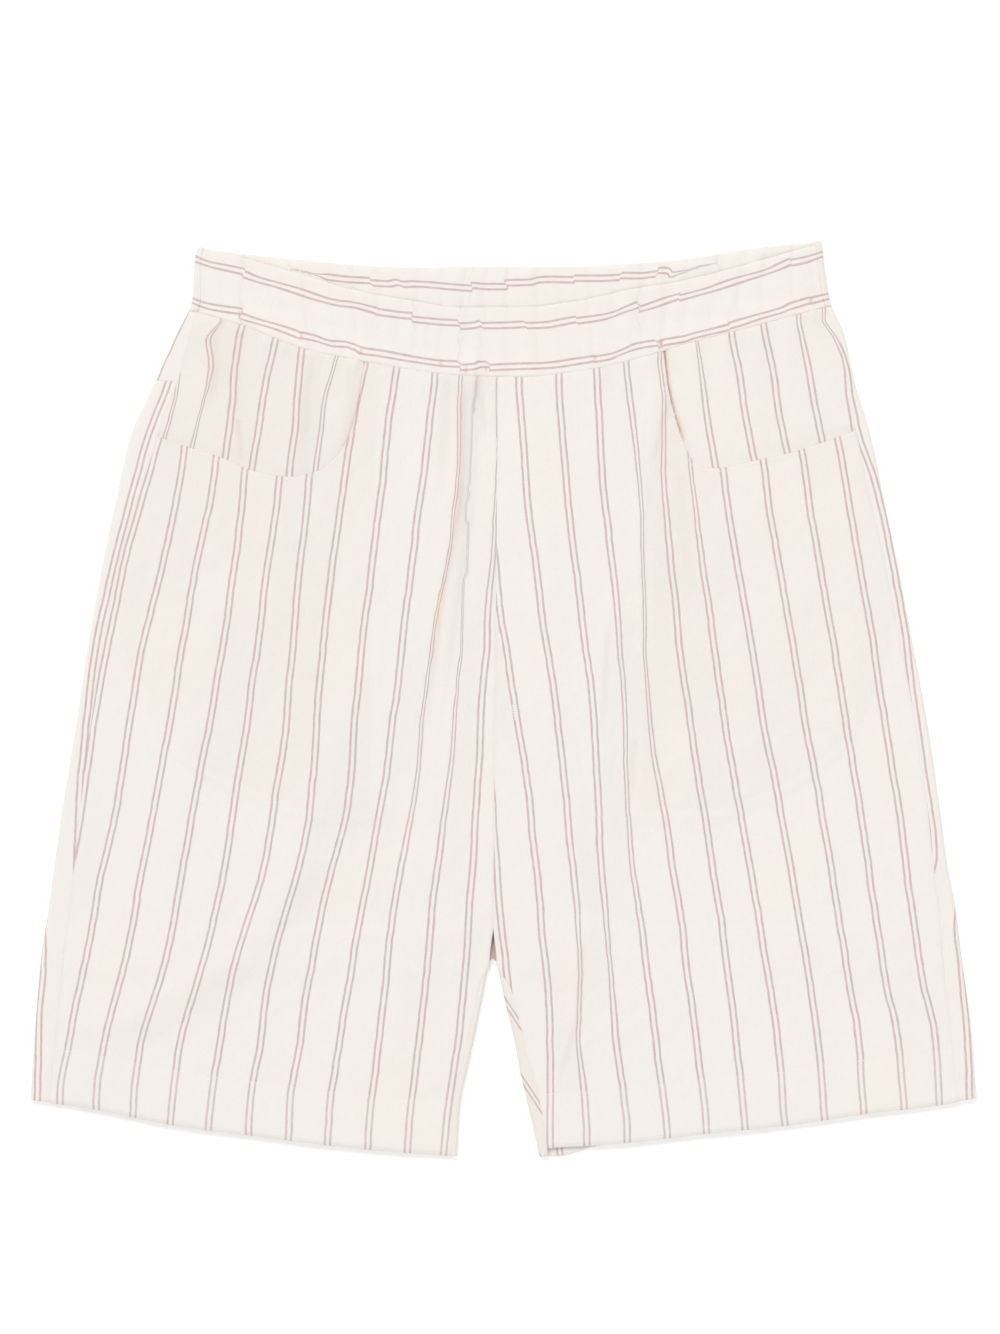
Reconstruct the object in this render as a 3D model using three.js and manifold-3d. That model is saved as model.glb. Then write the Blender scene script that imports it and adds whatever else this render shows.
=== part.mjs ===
// Bermuda shorts with an elastic waistband, laid flat on their back.
// Millimetres. +X is across, +Y towards the waist, +Z up from the surface they lie on.
import * as THREE from "three";
import Module from "manifold-3d";

const wasm = await Module();
wasm.setup();

// Thickness of the cloth and of what is sewn double.
const WALL = 1.2;
const HIP_WALL = 1.0;
const HEM_EXTRA = 0.8;
const BAND_WALL = 2.4;

// Clearances: between pieces at a seam, and between layers that lie on each other.
const SEAM_GAP = 0.3;
const LAYER_GAP = 0.45;

// Height of the outside of the top layer along the folded sides, and how far it swells inwards.
const EDGE_TOP = 4.6;
const BAND_TOP = 5.3;
const CROTCH_TOP = 3.2;
const SWELL = 1.0;
const SWELL_REACH = 45;

// How far above the crotch the top side starts to dip towards the inner edges of the legs.
const DIP_START = 34;

// Hem depth, and the distance over which the turned-up cloth gets its full thickness.
const HEM_DEPTH = 29;
const HEM_STEP = 2;

// The centre seam, from the waistband down to the crotch, and where the two fronts part above it.
const CENTRE = { waistX: -3, waistY: 175.5, crotchX: -5.7, crotchY: -142.6, frontY: -120.4 };

// Silhouette of the garment, and how far in from it the side seam lies on the top side.
const SIDES = [
  { y: 249, left: -163.5, leftSeam: 3.6, right: 171.8, rightSeam: 3.6 },
  { y: 238, left: -166.8, leftSeam: 3.6, right: 173, rightSeam: 3.6 },
  { y: 216, left: -168.2, leftSeam: 4.6, right: 176.3, rightSeam: 3.6 },
  { y: 198, left: -176.5, leftSeam: 7.4, right: 183.9, rightSeam: 3.4 },
  { y: 173, left: -187.7, leftSeam: 12.3, right: 189.4, rightSeam: 3.8 },
  { y: 141, left: -201.9, leftSeam: 15.1, right: 198.7, rightSeam: 7.6 },
  { y: 111, left: -208.7, leftSeam: 12.2, right: 204.9, rightSeam: 7.4 },
  { y: 75, left: -216.3, leftSeam: 9.2, right: 212.5, rightSeam: 6.7 },
  { y: 30, left: -224.3, leftSeam: 8, right: 221.1, rightSeam: 6.6 },
  { y: -21, left: -232.1, leftSeam: 8.2, right: 230.3, rightSeam: 6.5 },
  { y: -56, left: -237.9, leftSeam: 9.7, right: 235.3, rightSeam: 6.7 },
  { y: -87, left: -242.4, leftSeam: 10.8, right: 239.5, rightSeam: 7.6 },
  { y: -115, left: -246, leftSeam: 11.6, right: 244.4, rightSeam: 9 },
  { y: -137, left: -249.6, leftSeam: 12.3, right: 247.1, rightSeam: 10.2 },
  { y: -171, left: -252.7, leftSeam: 12.2, right: 251.9, rightSeam: 11.3 },
  { y: -216, left: -255.7, leftSeam: 10.6, right: 255.7, rightSeam: 10.5 },
];

// Inner edges of the two legs below the crotch, and how far in from them the inseams lie.
const INSIDES = [
  { y: -142.6, left: -7.8, leftSeam: 2.4, right: -3.6, rightSeam: 2.4 },
  { y: -164, left: -11.9, leftSeam: 2.6, right: 0.9, rightSeam: 5.2 },
  { y: -184, left: -15.9, leftSeam: 3, right: 5.7, rightSeam: 5.2 },
  { y: -201, left: -19.6, leftSeam: 3.2, right: 8.9, rightSeam: 6.4 },
  { y: -220, left: -23.4, leftSeam: 3.4, right: 13.2, rightSeam: 7 },
  { y: -248, left: -25.1, leftSeam: 3.4, right: 19.7, rightSeam: 4.3 },
];

// The waistband: top edge and lower seam of its front half, and top edge of its back half.
const WAIST = [
  { x: -168, top: 244.6, seam: 210, back: 244 },
  { x: -141, top: 237.6, seam: 201.8, back: 240.2 },
  { x: -106, top: 227.9, seam: 188.7, back: 236.7 },
  { x: -83, top: 220.9, seam: 183.9, back: 234.4 },
  { x: -49, top: 214.4, seam: 177.7, back: 232.8 },
  { x: -23, top: 211.1, seam: 174.8, back: 233.2 },
  { x: 9, top: 211.1, seam: 174, back: 233.3 },
  { x: 40, top: 214.4, seam: 176.9, back: 233.5 },
  { x: 72, top: 221.4, seam: 183.8, back: 235.1 },
  { x: 96, top: 225.2, seam: 191, back: 237.2 },
  { x: 138, top: 236, seam: 202.2, back: 243.6 },
  { x: 176, top: 247, seam: 212.4, back: 247.4 },
];
const BAND_HEIGHT = 35;

// Hem edges: the front layer of each leg, and the back layer where it shows below the front.
const HEMS = {
  left: [
    { x: -256, front: -216.5, back: -216.5 },
    { x: -221, front: -221.4, back: -221.4 },
    { x: -181, front: -229.5, back: -229.5 },
    { x: -138, front: -235.4, back: -235.4 },
    { x: -74, front: -243, back: -243 },
    { x: -25, front: -246.8, back: -246.8 },
  ],
  right: [
    { x: 19, front: -243.2, back: -247 },
    { x: 31, front: -241.9, back: -246.6 },
    { x: 50, front: -240.9, back: -241.6 },
    { x: 69, front: -239.2, back: -239.2 },
    { x: 112, front: -234.4, back: -234.4 },
    { x: 155, front: -230, back: -230 },
    { x: 198, front: -223.6, back: -223.6 },
    { x: 236, front: -219.2, back: -219.2 },
    { x: 256, front: -215.5, back: -215.5 },
  ],
};

// Scooped pocket openings, from the side seam in to the waistband.
const SCOOPS = {
  left: [
    { x: -187.1, y: 141.5 },
    { x: -167.7, y: 135 },
    { x: -149.3, y: 129.1 },
    { x: -135.8, y: 123.1 },
    { x: -115.8, y: 119.9 },
    { x: -101.3, y: 122.6 },
    { x: -92.1, y: 129.1 },
    { x: -84.5, y: 139.6 },
    { x: -79.1, y: 156 },
    { x: -74.8, y: 181.6 },
  ],
  right: [
    { x: 190.2, y: 145 },
    { x: 172, y: 138.2 },
    { x: 153.1, y: 132.3 },
    { x: 135.3, y: 128.5 },
    { x: 114.2, y: 124.4 },
    { x: 104.6, y: 126.4 },
    { x: 99.2, y: 135 },
    { x: 93.4, y: 154 },
    { x: 86.4, y: 187.4 },
  ],
};

// Hip pieces go on under the fronts as pocket bags: where they end below, and their inner edges.
const BAGS = {
  left: {
    bottom: [
      { x: -214, y: 40 },
      { x: -191, y: -0.5 },
      { x: -177, y: -26.5 },
      { x: -131.5, y: -51.3 },
      { x: -101, y: -61 },
      { x: -71, y: -61 },
    ],
    inner: [
      { y: 190, x: -63 },
      { y: 129, x: -68 },
      { y: -70, x: -71 },
    ],
  },
  right: {
    bottom: [
      { x: 210, y: 40 },
      { x: 196, y: 0 },
      { x: 180, y: -27 },
      { x: 142, y: -51 },
      { x: 112, y: -61 },
      { x: 73, y: -61 },
    ],
    inner: [
      { y: 195, x: 77 },
      { y: 129, x: 81 },
      { y: -70, x: 71 },
    ],
  },
};
const BAG_RELIEF = 0.7;
const BAG_BLEND = 9;

// Gathers that the elastic makes: where along the seam, how high, and how far down they reach.
const GATHERS = [
  { x: -158, height: 0.7, width: 6, reach: 40 },
  { x: -141, height: 1, width: 6, reach: 70 },
  { x: -124, height: 0.7, width: 6, reach: 50 },
  { x: -109, height: 0.9, width: 6, reach: 70 },
  { x: -93, height: 0.7, width: 5, reach: 45 },
  { x: -78, height: 1, width: 6, reach: 80 },
  { x: -60, height: 0.7, width: 6, reach: 50 },
  { x: -45, height: 0.8, width: 6, reach: 60 },
  { x: -5, height: 0.9, width: 5, reach: 55 },
  { x: 13, height: 0.9, width: 6, reach: 60 },
  { x: 31, height: 0.8, width: 6, reach: 60 },
  { x: 50, height: 1, width: 6, reach: 80 },
  { x: 66, height: 0.8, width: 5, reach: 60 },
  { x: 103, height: 1, width: 6, reach: 60 },
  { x: 120, height: 0.7, width: 6, reach: 45 },
  { x: 138, height: 0.7, width: 6, reach: 60 },
  { x: 156, height: 0.8, width: 6, reach: 45 },
];

// The largest folds of the fronts: a line along the crest, its half width and height, and the
// shares of its length over which it rises at its top end and fades at its lower end.
const FOLDS = [
  { width: 6, height: 2.4, start: 0, end: 0.5, line: [[-17, 178], [-19, 104], [-29, 40], [-39, -32]] },
  { width: 8, height: 1.1, start: 0.12, end: 0.3, line: [[17, 165], [24, 60], [30, -40]] },
  { width: 7, height: 1.5, start: 0.12, end: 0.3, line: [[80, 176], [76, 100], [77, 42], [80, -22]] },
  { width: 7, height: 0.9, start: 0.12, end: 0.3, line: [[57, 60], [54, 0], [50, -60]] },
  { width: 12, height: 1, start: 0.12, end: 0.3, line: [[128, 60], [140, -60], [150, -170]] },
  { width: 8, height: 1.3, start: 0.12, end: 0.3, line: [[43, -112], [41, -162], [31, -204]] },
  { width: 10, height: 1.3, start: 0.12, end: 0.3, line: [[-72, 30], [-100, -60], [-124, -120]] },
  {
    width: 11, height: 1.6, start: 0.12, end: 0.3,
    line: [[-96, -76], [-140, -140], [-186, -170], [-234, -188]],
  },
  { width: 11, height: 1.1, start: 0.12, end: 0.3, line: [[-150, 70], [-170, -20], [-186, -110]] },
  { width: 10, height: 1, start: 0.12, end: 0.3, line: [[-50, -70], [-56, -150], [-60, -215]] },
];

// How finely the pieces are divided.
const FRONT_COLUMNS = 27;
const BACK_COLUMNS = 8;
const HIP_COLUMNS = 16;
const FRONT_BAND_COLUMNS = 52;
const BACK_BAND_COLUMNS = 30;
const FRONT_ROWS = 18;
const INSEAM_ROWS = 8;
const HIP_ROWS_SHOWN = 5;
const HIP_ROWS_HIDDEN = 9;
const TURN_STEPS = 5;

// Heights near the edges that slope, from which the search for each edge starts.
const NEAR = { bandTop: 235, backTop: 240, waistSeam: 200, sideHem: -216, innerHem: -246 };

const CLOTH_COLOUR = 0xf3eee6;
const BAND_COLOUR = 0xf1ebe3;

function smooth(t) {
  const c = Math.min(1, Math.max(0, t));
  return c * c * (3 - 2 * c);
}

function mix(a, b, t) {
  return a + (b - a) * t;
}

// A smooth function through a table: column `at` against column `value`, with no overshoot.
function through(table, at, value) {
  const rows = [...table].sort((a, b) => a[at] - b[at]);
  const t = rows.map((row) => row[at]);
  const f = rows.map((row) => row[value]);
  const rise = t.slice(1).map((next, i) => (f[i + 1] - f[i]) / (next - t[i]));
  const slope = f.map((_, i) => {
    if (i === 0) return rise[0];
    if (i === f.length - 1) return rise[i - 1];
    if (rise[i - 1] * rise[i] <= 0) return 0;
    return (2 * rise[i - 1] * rise[i]) / (rise[i - 1] + rise[i]);
  });
  return (q) => {
    const last = t.length - 1;
    if (q <= t[0]) return f[0];
    if (q >= t[last]) return f[last];
    let i = 0;
    while (q > t[i + 1]) i += 1;
    const h = t[i + 1] - t[i];
    const s = (q - t[i]) / h;
    const fromStart = (1 + 2 * s) * (1 - s) * (1 - s) * f[i] + s * (1 - s) * (1 - s) * h * slope[i];
    const fromEnd = s * s * (3 - 2 * s) * f[i + 1] - s * s * (1 - s) * h * slope[i + 1];
    return fromStart + fromEnd;
  };
}

function evenly(count) {
  return Array.from({ length: count + 1 }, (_, i) => i / count);
}

const bandTop = through(WAIST, "x", "top");
const waistSeam = through(WAIST, "x", "seam");
const backTop = through(WAIST, "x", "back");

// Lower seam of the back half of the waistband, which meets the front half's seam at both sides.
function backSeam(x) {
  return backTop(x) - BAND_HEIGHT;
}

function centreX(y) {
  const t = (CENTRE.waistY - y) / (CENTRE.waistY - CENTRE.crotchY);
  return mix(CENTRE.waistX, CENTRE.crotchX, t);
}

// Everything about one leg that depends on its side. `out` is the direction away from the centre.
function makeLeg(side) {
  const out = side === "left" ? -1 : 1;
  const outline = through(SIDES, "y", side);
  const seamInset = through(SIDES, "y", `${side}Seam`);
  const inside = through(INSIDES, "y", side);
  const inseamInset = through(INSIDES, "y", `${side}Seam`);
  const scoopRows = SCOOPS[side];
  const bag = BAGS[side];
  const bagFloor = through(bag.bottom, "x", "y");
  const bagInner = through(bag.inner, "y", "x");
  const scoop = through(scoopRows, "x", "y");
  const corner = scoopRows[0];
  const mouth = scoopRows[scoopRows.length - 1];
  return {
    side,
    out,
    outline,
    corner,
    mouth,
    hemFront: through(HEMS[side], "x", "front"),
    hemBack: through(HEMS[side], "x", "back"),
    inside,
    bag,
    bagFloor,
    bagInner,
    // The side seam on the top side.
    sideSeam: (y) => outline(y) - out * seamInset(y),
    // The front's inner edge: the centre seam, then the inseam below the point where the fronts part.
    frontInner: (y) => {
      if (y >= CENTRE.frontY) return centreX(y) + (out * SEAM_GAP) / 2;
      const seam = inside(y) + out * (inseamInset(y) + SEAM_GAP);
      const part = smooth((CENTRE.frontY - y) / (CENTRE.frontY - CENTRE.crotchY));
      return mix(centreX(y) + (out * SEAM_GAP) / 2, seam, part);
    },
    // The back's inner edge: the centre seam, then the leg's own edge.
    backInner: (y) => {
      const own = centreX(y) + (out * SEAM_GAP) / 2;
      const part = smooth((CENTRE.crotchY + 8 - y) / 12);
      return mix(own, inside(y) + out * turnRadius(y), part);
    },
    inseam: (y) => inside(y) + out * inseamInset(y),
    // Top edge of the front: the pocket scoop, then the waistband seam.
    frontTop: (x) => (out * x > out * mouth.x ? scoop(x) : waistSeam(x) - SEAM_GAP),
    scoop,
    scoopLine: scoopRows.map((row) => [row.x, row.y]),
  };
}

// Half the height of the folded inner edge of a leg: low at the crotch, full at the hem.
function turnRadius(y) {
  const t = smooth((CENTRE.crotchY - y) / 40);
  return mix(CROTCH_TOP, EDGE_TOP, t) / 2;
}

const LEGS = { left: makeLeg("left"), right: makeLeg("right") };

// Distance from a crest line, and how far along it the nearest point is, from 0 to 1.
function nearCrest(line, x, y) {
  const lengths = line.slice(1).map((p, i) => Math.hypot(p[0] - line[i][0], p[1] - line[i][1]));
  const whole = lengths.reduce((a, b) => a + b, 0);
  let best = { off: Infinity, along: 0 };
  let before = 0;
  lengths.forEach((length, i) => {
    const [ax, ay] = line[i];
    const dx = (line[i + 1][0] - ax) / length;
    const dy = (line[i + 1][1] - ay) / length;
    const along = Math.min(length, Math.max(0, (x - ax) * dx + (y - ay) * dy));
    const off = Math.hypot(x - ax - dx * along, y - ay - dy * along);
    if (off < best.off) best = { off, along: (before + along) / whole };
    before += length;
  });
  return best;
}

function foldHeight(x, y) {
  return FOLDS.reduce((sum, fold) => {
    const { off, along } = nearCrest(fold.line, x, y);
    const rise = fold.start > 0 ? smooth(along / fold.start) : 1;
    const fade = rise * smooth((1 - along) / fold.end);
    return sum + fold.height * fade * Math.exp(-((off / fold.width) ** 2));
  }, 0);
}

function gatherHeight(x, down) {
  return GATHERS.reduce((sum, gather) => {
    const fade = 1 - smooth(down / gather.reach);
    return sum + gather.height * fade * Math.exp(-(((x - gather.x) / gather.width) ** 2));
  }, 0);
}

function bagLift(leg, x, y) {
  const inward = leg.out * (x - leg.bagInner(y));
  const above = y - leg.bagFloor(x);
  return BAG_RELIEF * smooth((inward + BAG_BLEND) / BAG_BLEND) * smooth((above + BAG_BLEND) / BAG_BLEND);
}

// Height of the outside of the top layer above the surface the garment lies on. `relief` is the
// share of folds and gathers that it takes: all of them where it shows, none where it is covered.
function topAt(leg, x, y, relief = 1) {
  const fromSide = leg.out * (leg.outline(y) - x);
  const below = smooth((CENTRE.crotchY + DIP_START - y) / DIP_START);
  const fromInside = Math.max(leg.out * (x - leg.inside(y)), 0);
  const nearest = Math.min(fromSide, fromInside + SWELL_REACH * (1 - below)) - EDGE_TOP / 2;
  const innerDip = below * (1 - smooth((fromInside - turnRadius(y)) / 14));
  const dip = (EDGE_TOP - 2 * turnRadius(Math.min(y, CENTRE.crotchY))) * innerDip;
  const free = smooth(nearest / 14);
  const down = waistSeam(x) - y;
  const ridges = relief > 0 ? foldHeight(x, y) + gatherHeight(x, down) + bagLift(leg, x, y) : 0;
  return EDGE_TOP - dip + SWELL * smooth(nearest / SWELL_REACH) + free * relief * ridges;
}

function bandTopAt(x, y) {
  const fromEnd = Math.min(x - LEGS.left.outline(y), LEGS.right.outline(y) - x) - BAND_TOP / 2;
  return BAND_TOP + 0.8 * smooth(fromEnd / 14) * gatherHeight(x, 0);
}

// A closed sheet of cloth from rows of stations, each with a point outside and one inside.
function closedSheet(rows) {
  const across = rows[0].length;
  const half = rows.length * across;
  const points = [];
  for (const face of ["outer", "inner"]) {
    for (const row of rows) {
      for (const station of row) points.push(...station[face]);
    }
  }
  const corners = [];
  const quad = (a, b, c, d) => corners.push(a, b, c, a, c, d);
  const at = (j, i) => j * across + i;
  for (let j = 0; j + 1 < rows.length; j += 1) {
    for (let i = 0; i + 1 < across; i += 1) {
      quad(at(j, i), at(j, i + 1), at(j + 1, i + 1), at(j + 1, i));
      quad(half + at(j, i), half + at(j + 1, i), half + at(j + 1, i + 1), half + at(j, i + 1));
    }
    const end = across - 1;
    quad(at(j, 0), at(j + 1, 0), half + at(j + 1, 0), half + at(j, 0));
    quad(at(j + 1, end), at(j, end), half + at(j, end), half + at(j + 1, end));
  }
  const foot = rows.length - 1;
  for (let i = 0; i + 1 < across; i += 1) {
    quad(at(0, i + 1), at(0, i), half + at(0, i), half + at(0, i + 1));
    quad(at(foot, i), at(foot, i + 1), half + at(foot, i + 1), half + at(foot, i));
  }
  return solidFrom(points, corners);
}

function signedVolume(points, corners) {
  const p = (k) => new THREE.Vector3(points[3 * k], points[3 * k + 1], points[3 * k + 2]);
  let sum = 0;
  for (let i = 0; i < corners.length; i += 3) {
    sum += p(corners[i]).dot(p(corners[i + 1]).cross(p(corners[i + 2])));
  }
  return sum / 6;
}

function solidFrom(points, corners) {
  if (signedVolume(points, corners) < 0) {
    for (let i = 0; i < corners.length; i += 3) {
      [corners[i + 1], corners[i + 2]] = [corners[i + 2], corners[i + 1]];
    }
  }
  const mesh = new wasm.Mesh({
    numProp: 3,
    vertProperties: new Float32Array(points),
    triVerts: new Uint32Array(corners),
  });
  return new wasm.Manifold(mesh);
}

// Rows down a leg column: shares of the way from its top edge to the hem, then the hem's own rows.
function legRows(shares, topY, hemY) {
  const hemStart = hemY + HEM_DEPTH;
  const upper = shares.map((t) => ({ y: mix(topY, hemStart, t), wall: WALL }));
  const lower = [HEM_DEPTH - HEM_STEP, HEM_DEPTH / 2, 0];
  return [...upper, ...lower.map((h) => ({ y: hemY + h, wall: WALL + HEM_EXTRA }))];
}

// Shares with one division above a given share and another below it.
function splitShares(above, below, at) {
  return [...evenly(above).map((t) => t * at), ...evenly(below).slice(1).map((t) => mix(at, 1, t))];
}

// Columns of a patch: shares of its width at the top edge, with the hem divided alike.
function columnEnds(share, outer, inner, topOf, bottomOf, guess) {
  const settle = (edge, startY) => {
    let y = startY;
    for (let k = 0; k < 40; k += 1) {
      y = mix(y, edge(mix(outer(y), inner(y), share)), 0.6);
    }
    return y;
  };
  return { topY: settle(topOf, guess.top), bottomY: settle(bottomOf, guess.bottom) };
}

// A front panel. Its columns are set at the top edge, closer together at the steep end of the scoop.
function frontPanel(leg) {
  const inner = leg.frontInner;
  const outer = (y) => leg.sideSeam(y) - (leg.out * SEAM_GAP) / 2;
  const from = leg.corner.x - (leg.out * SEAM_GAP) / 2;
  const to = CENTRE.waistX + (leg.out * SEAM_GAP) / 2;
  const steep = [0.2, 0.4, 0.6, 0.8].map((t) => mix(leg.mouth.x + leg.out * 12, leg.mouth.x, t));
  const even = evenly(FRONT_COLUMNS).map((t) => mix(from, to, t));
  const clear = even.filter((x) => steep.every((s) => Math.abs(x - s) > 2));
  const columns = [...clear, ...steep, leg.mouth.x].sort((a, b) => leg.out * (b - a));
  const stations = columns.map((x, i) => {
    const first = i === 0;
    const last = i === columns.length - 1;
    const topY = first ? leg.corner.y : leg.frontTop(x);
    const topShare = first ? 0 : last ? 1 : (x - outer(topY)) / (inner(topY) - outer(topY));
    const hemX = mix(outer(leg.hemFront(outer(NEAR.sideHem))), inner(NEAR.innerHem), topShare);
    const parted = splitShares(FRONT_ROWS - INSEAM_ROWS, INSEAM_ROWS, 0.75);
    const shares = evenly(FRONT_ROWS).map((t, j) => mix(t, parted[j], topShare));
    return legRows(shares, topY, leg.hemFront(hemX)).map(({ y, wall }) => {
      const px = mix(outer(y), inner(y), topShare);
      const top = topAt(leg, px, y);
      return { outer: [px, y, top], inner: [px, y, top - wall] };
    });
  });
  return closedSheet(stations);
}

// A hip piece and pocket bag in one. It lies under the front, and comes up level where it shows.
function hipPiece(leg) {
  const seam = (y) => leg.sideSeam(y) - leg.out * SEAM_GAP;
  const outer = (y) => seam(y) - leg.out * 1.2 * smooth((leg.corner.y + 6 - y) / 12);
  const inner = leg.bagInner;
  const start = leg.bag.bottom[0];
  const topEdge = (x) => waistSeam(x) - SEAM_GAP;
  const stations = evenly(HIP_COLUMNS).map((share) => {
    const near = { top: NEAR.waistSeam, bottom: start.y };
    const ends = columnEnds(share, outer, inner, topEdge, leg.bagFloor, near);
    const turnAt = (ends.topY - leg.corner.y) / (ends.topY - ends.bottomY);
    return splitShares(HIP_ROWS_SHOWN, HIP_ROWS_HIDDEN, turnAt).map((t) => {
      const y = mix(ends.topY, ends.bottomY, t);
      const x = mix(outer(y), inner(y), share);
      const above = y > leg.frontTop(x) ? nearCrest(leg.scoopLine, x, y).off : 0;
      const shown = smooth((above - 8) / 14);
      const top = topAt(leg, x, y, shown) - (WALL + LAYER_GAP) * (1 - shown);
      return { outer: [x, y, top], inner: [x, y, top - HIP_WALL] };
    });
  });
  return closedSheet(stations);
}

// Stations round a folded edge, from the underside up to the top side.
function turn(edgeX, y, out, radius, wall) {
  const middle = edgeX - out * radius;
  return evenly(TURN_STEPS).map((t) => {
    const angle = t * Math.PI;
    const spot = (r) => [middle + out * r * Math.sin(angle), y, radius - r * Math.cos(angle)];
    return { outer: spot(radius), inner: spot(radius - wall) };
  });
}

// Stations of the strip on the top side, from the end of the turn to the seam.
function strip(fromX, toX, y, wall, topOf) {
  return [0.5, 1].map((t) => {
    const x = mix(fromX, toX, t);
    const top = topOf(x, y);
    return { outer: [x, y, top], inner: [x, y, top - wall] };
  });
}

function flatStation(x, y, wall) {
  return { outer: [x, y, 0], inner: [x, y, wall] };
}

// A back panel: flat on the surface, folded up round the side and on to the side seam.
function backPanel(leg) {
  const radius = EDGE_TOP / 2;
  const edge = (y) => leg.outline(y) - leg.out * radius;
  const topEdge = (x) => backSeam(x) - SEAM_GAP;
  const shares = evenly(BACK_COLUMNS);
  const hemEnd = leg.hemBack(leg.outline(NEAR.sideHem));
  // Rows down to the pocket's corner, then the front's own rows, so that both sides of the seam match.
  const rowsFrom = (topY, hemY) => {
    const at = (topY - leg.corner.y) / (topY - hemY - HEM_DEPTH);
    return legRows(splitShares(HIP_ROWS_SHOWN, FRONT_ROWS, at), topY, hemY);
  };
  const columns = shares.map((share) => {
    const near = { top: NEAR.waistSeam, bottom: hemEnd };
    const ends = columnEnds(share, edge, leg.backInner, topEdge, leg.hemBack, near);
    return rowsFrom(ends.topY, ends.bottomY).map(({ y, wall }) => {
      return flatStation(mix(edge(y), leg.backInner(y), share), y, wall);
    });
  });
  const folded = rowsFrom(topEdge(edge(NEAR.waistSeam)), hemEnd).map(({ y, wall }) => {
    const seam = leg.sideSeam(y) + (leg.out * SEAM_GAP) / 2;
    const round = turn(leg.outline(y), y, leg.out, radius, wall);
    return [...round.slice(1), ...strip(edge(y), seam, y, wall, (x, h) => topAt(leg, x, h))];
  });
  const rows = folded.map((wrap, j) => [...wrap.slice().reverse(), ...columns.map((column) => column[j])]);
  return closedSheet(rows).add(innerFold(leg));
}

// The back panel's fold round the inner leg, from just below the crotch to the hem.
function innerFold(leg) {
  const start = CENTRE.crotchY - 3;
  const end = leg.hemBack(leg.inside(NEAR.innerHem));
  const overlap = 6;
  const rows = legRows(evenly(INSEAM_ROWS), start, end).map(({ y, wall }) => {
    const radius = turnRadius(y);
    const thick = Math.min(wall, radius - 0.2);
    const edge = leg.inside(y);
    const middle = edge + leg.out * radius;
    const seam = leg.inseam(y) - (leg.out * SEAM_GAP) / 2;
    const round = turn(edge, y, -leg.out, radius, thick);
    const under = flatStation(middle + leg.out * overlap, y, thick);
    return [under, ...round, ...strip(middle, seam, y, thick, (x, h) => topAt(leg, x, h))];
  });
  return closedSheet(rows);
}

function frontBand() {
  const inset = (y, leg) => leg.sideSeam(y) - (leg.out * SEAM_GAP) / 2;
  const outer = (y) => inset(y, LEGS.left);
  const inner = (y) => inset(y, LEGS.right);
  const columns = evenly(FRONT_BAND_COLUMNS).map((share) => {
    const near = { top: NEAR.bandTop, bottom: NEAR.waistSeam };
    const ends = columnEnds(share, outer, inner, bandTop, waistSeam, near);
    return [0, 0.12, 0.5, 0.88, 1].map((t) => {
      const y = mix(ends.topY, ends.bottomY, t);
      const x = mix(outer(y), inner(y), share);
      const rounded = t === 0 || t === 1 ? 0.5 : 0;
      const top = bandTopAt(x, y);
      const under = BAND_TOP - BAND_WALL;
      return { outer: [x, y, top - rounded], inner: [x, y, under + rounded * 0.4] };
    });
  });
  return closedSheet(columns);
}

// The back half of the waistband, folded up at both sides to meet the front half.
function backBand() {
  const radius = BAND_TOP / 2;
  const edges = Object.values(LEGS).map((leg) => (y) => leg.outline(y) - leg.out * radius);
  const columns = evenly(BACK_BAND_COLUMNS).map((share) => {
    const near = { top: NEAR.backTop, bottom: NEAR.waistSeam };
    const ends = columnEnds(share, edges[0], edges[1], backTop, backSeam, near);
    return [0, 0.1, 0.5, 1].map((t) => {
      const y = mix(ends.topY, ends.bottomY, t);
      const x = mix(edges[0](y), edges[1](y), share);
      const wave = 0.35 * Math.sin(x / 6.5) * (t === 0 ? 0 : 1) * smooth(Math.min(share, 1 - share) / 0.1);
      return { outer: [x, y, 0], inner: [x, y, BAND_WALL - (t === 0 ? 0.5 : 0) + wave] };
    });
  });
  const wraps = Object.values(LEGS).map((leg) => {
    const middle = (y) => leg.outline(y) - leg.out * radius;
    const high = backTop(middle(NEAR.backTop));
    const low = waistSeam(middle(NEAR.waistSeam)) + SEAM_GAP;
    return [0, 0.1, 0.5, 1].map((t) => {
      const y = mix(high, low, t);
      const seam = leg.sideSeam(y) + (leg.out * SEAM_GAP) / 2;
      const round = turn(leg.outline(y), y, leg.out, radius, BAND_WALL);
      return [...round.slice(1), ...strip(middle(y), seam, y, BAND_WALL, bandTopAt)];
    });
  });
  const rows = [0, 1, 2, 3].map((j) => [
    ...wraps[0][j].slice().reverse(),
    ...columns.map((column) => column[j]),
    ...wraps[1][j],
  ]);
  return closedSheet(rows);
}

function meshOf(name, solid, colour, roughness) {
  const data = solid.getMesh();
  const geometry = new THREE.BufferGeometry();
  const places = new Float32Array((data.vertProperties.length / data.numProp) * 3);
  for (let i = 0; i < places.length / 3; i += 1) {
    for (let k = 0; k < 3; k += 1) places[3 * i + k] = data.vertProperties[data.numProp * i + k];
  }
  geometry.setAttribute("position", new THREE.BufferAttribute(places, 3));
  geometry.setIndex(new THREE.BufferAttribute(data.triVerts, 1));
  geometry.computeVertexNormals();
  const material = new THREE.MeshStandardMaterial({ color: colour, roughness, metalness: 0 });
  const mesh = new THREE.Mesh(geometry, material);
  mesh.name = name;
  return mesh;
}

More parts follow.
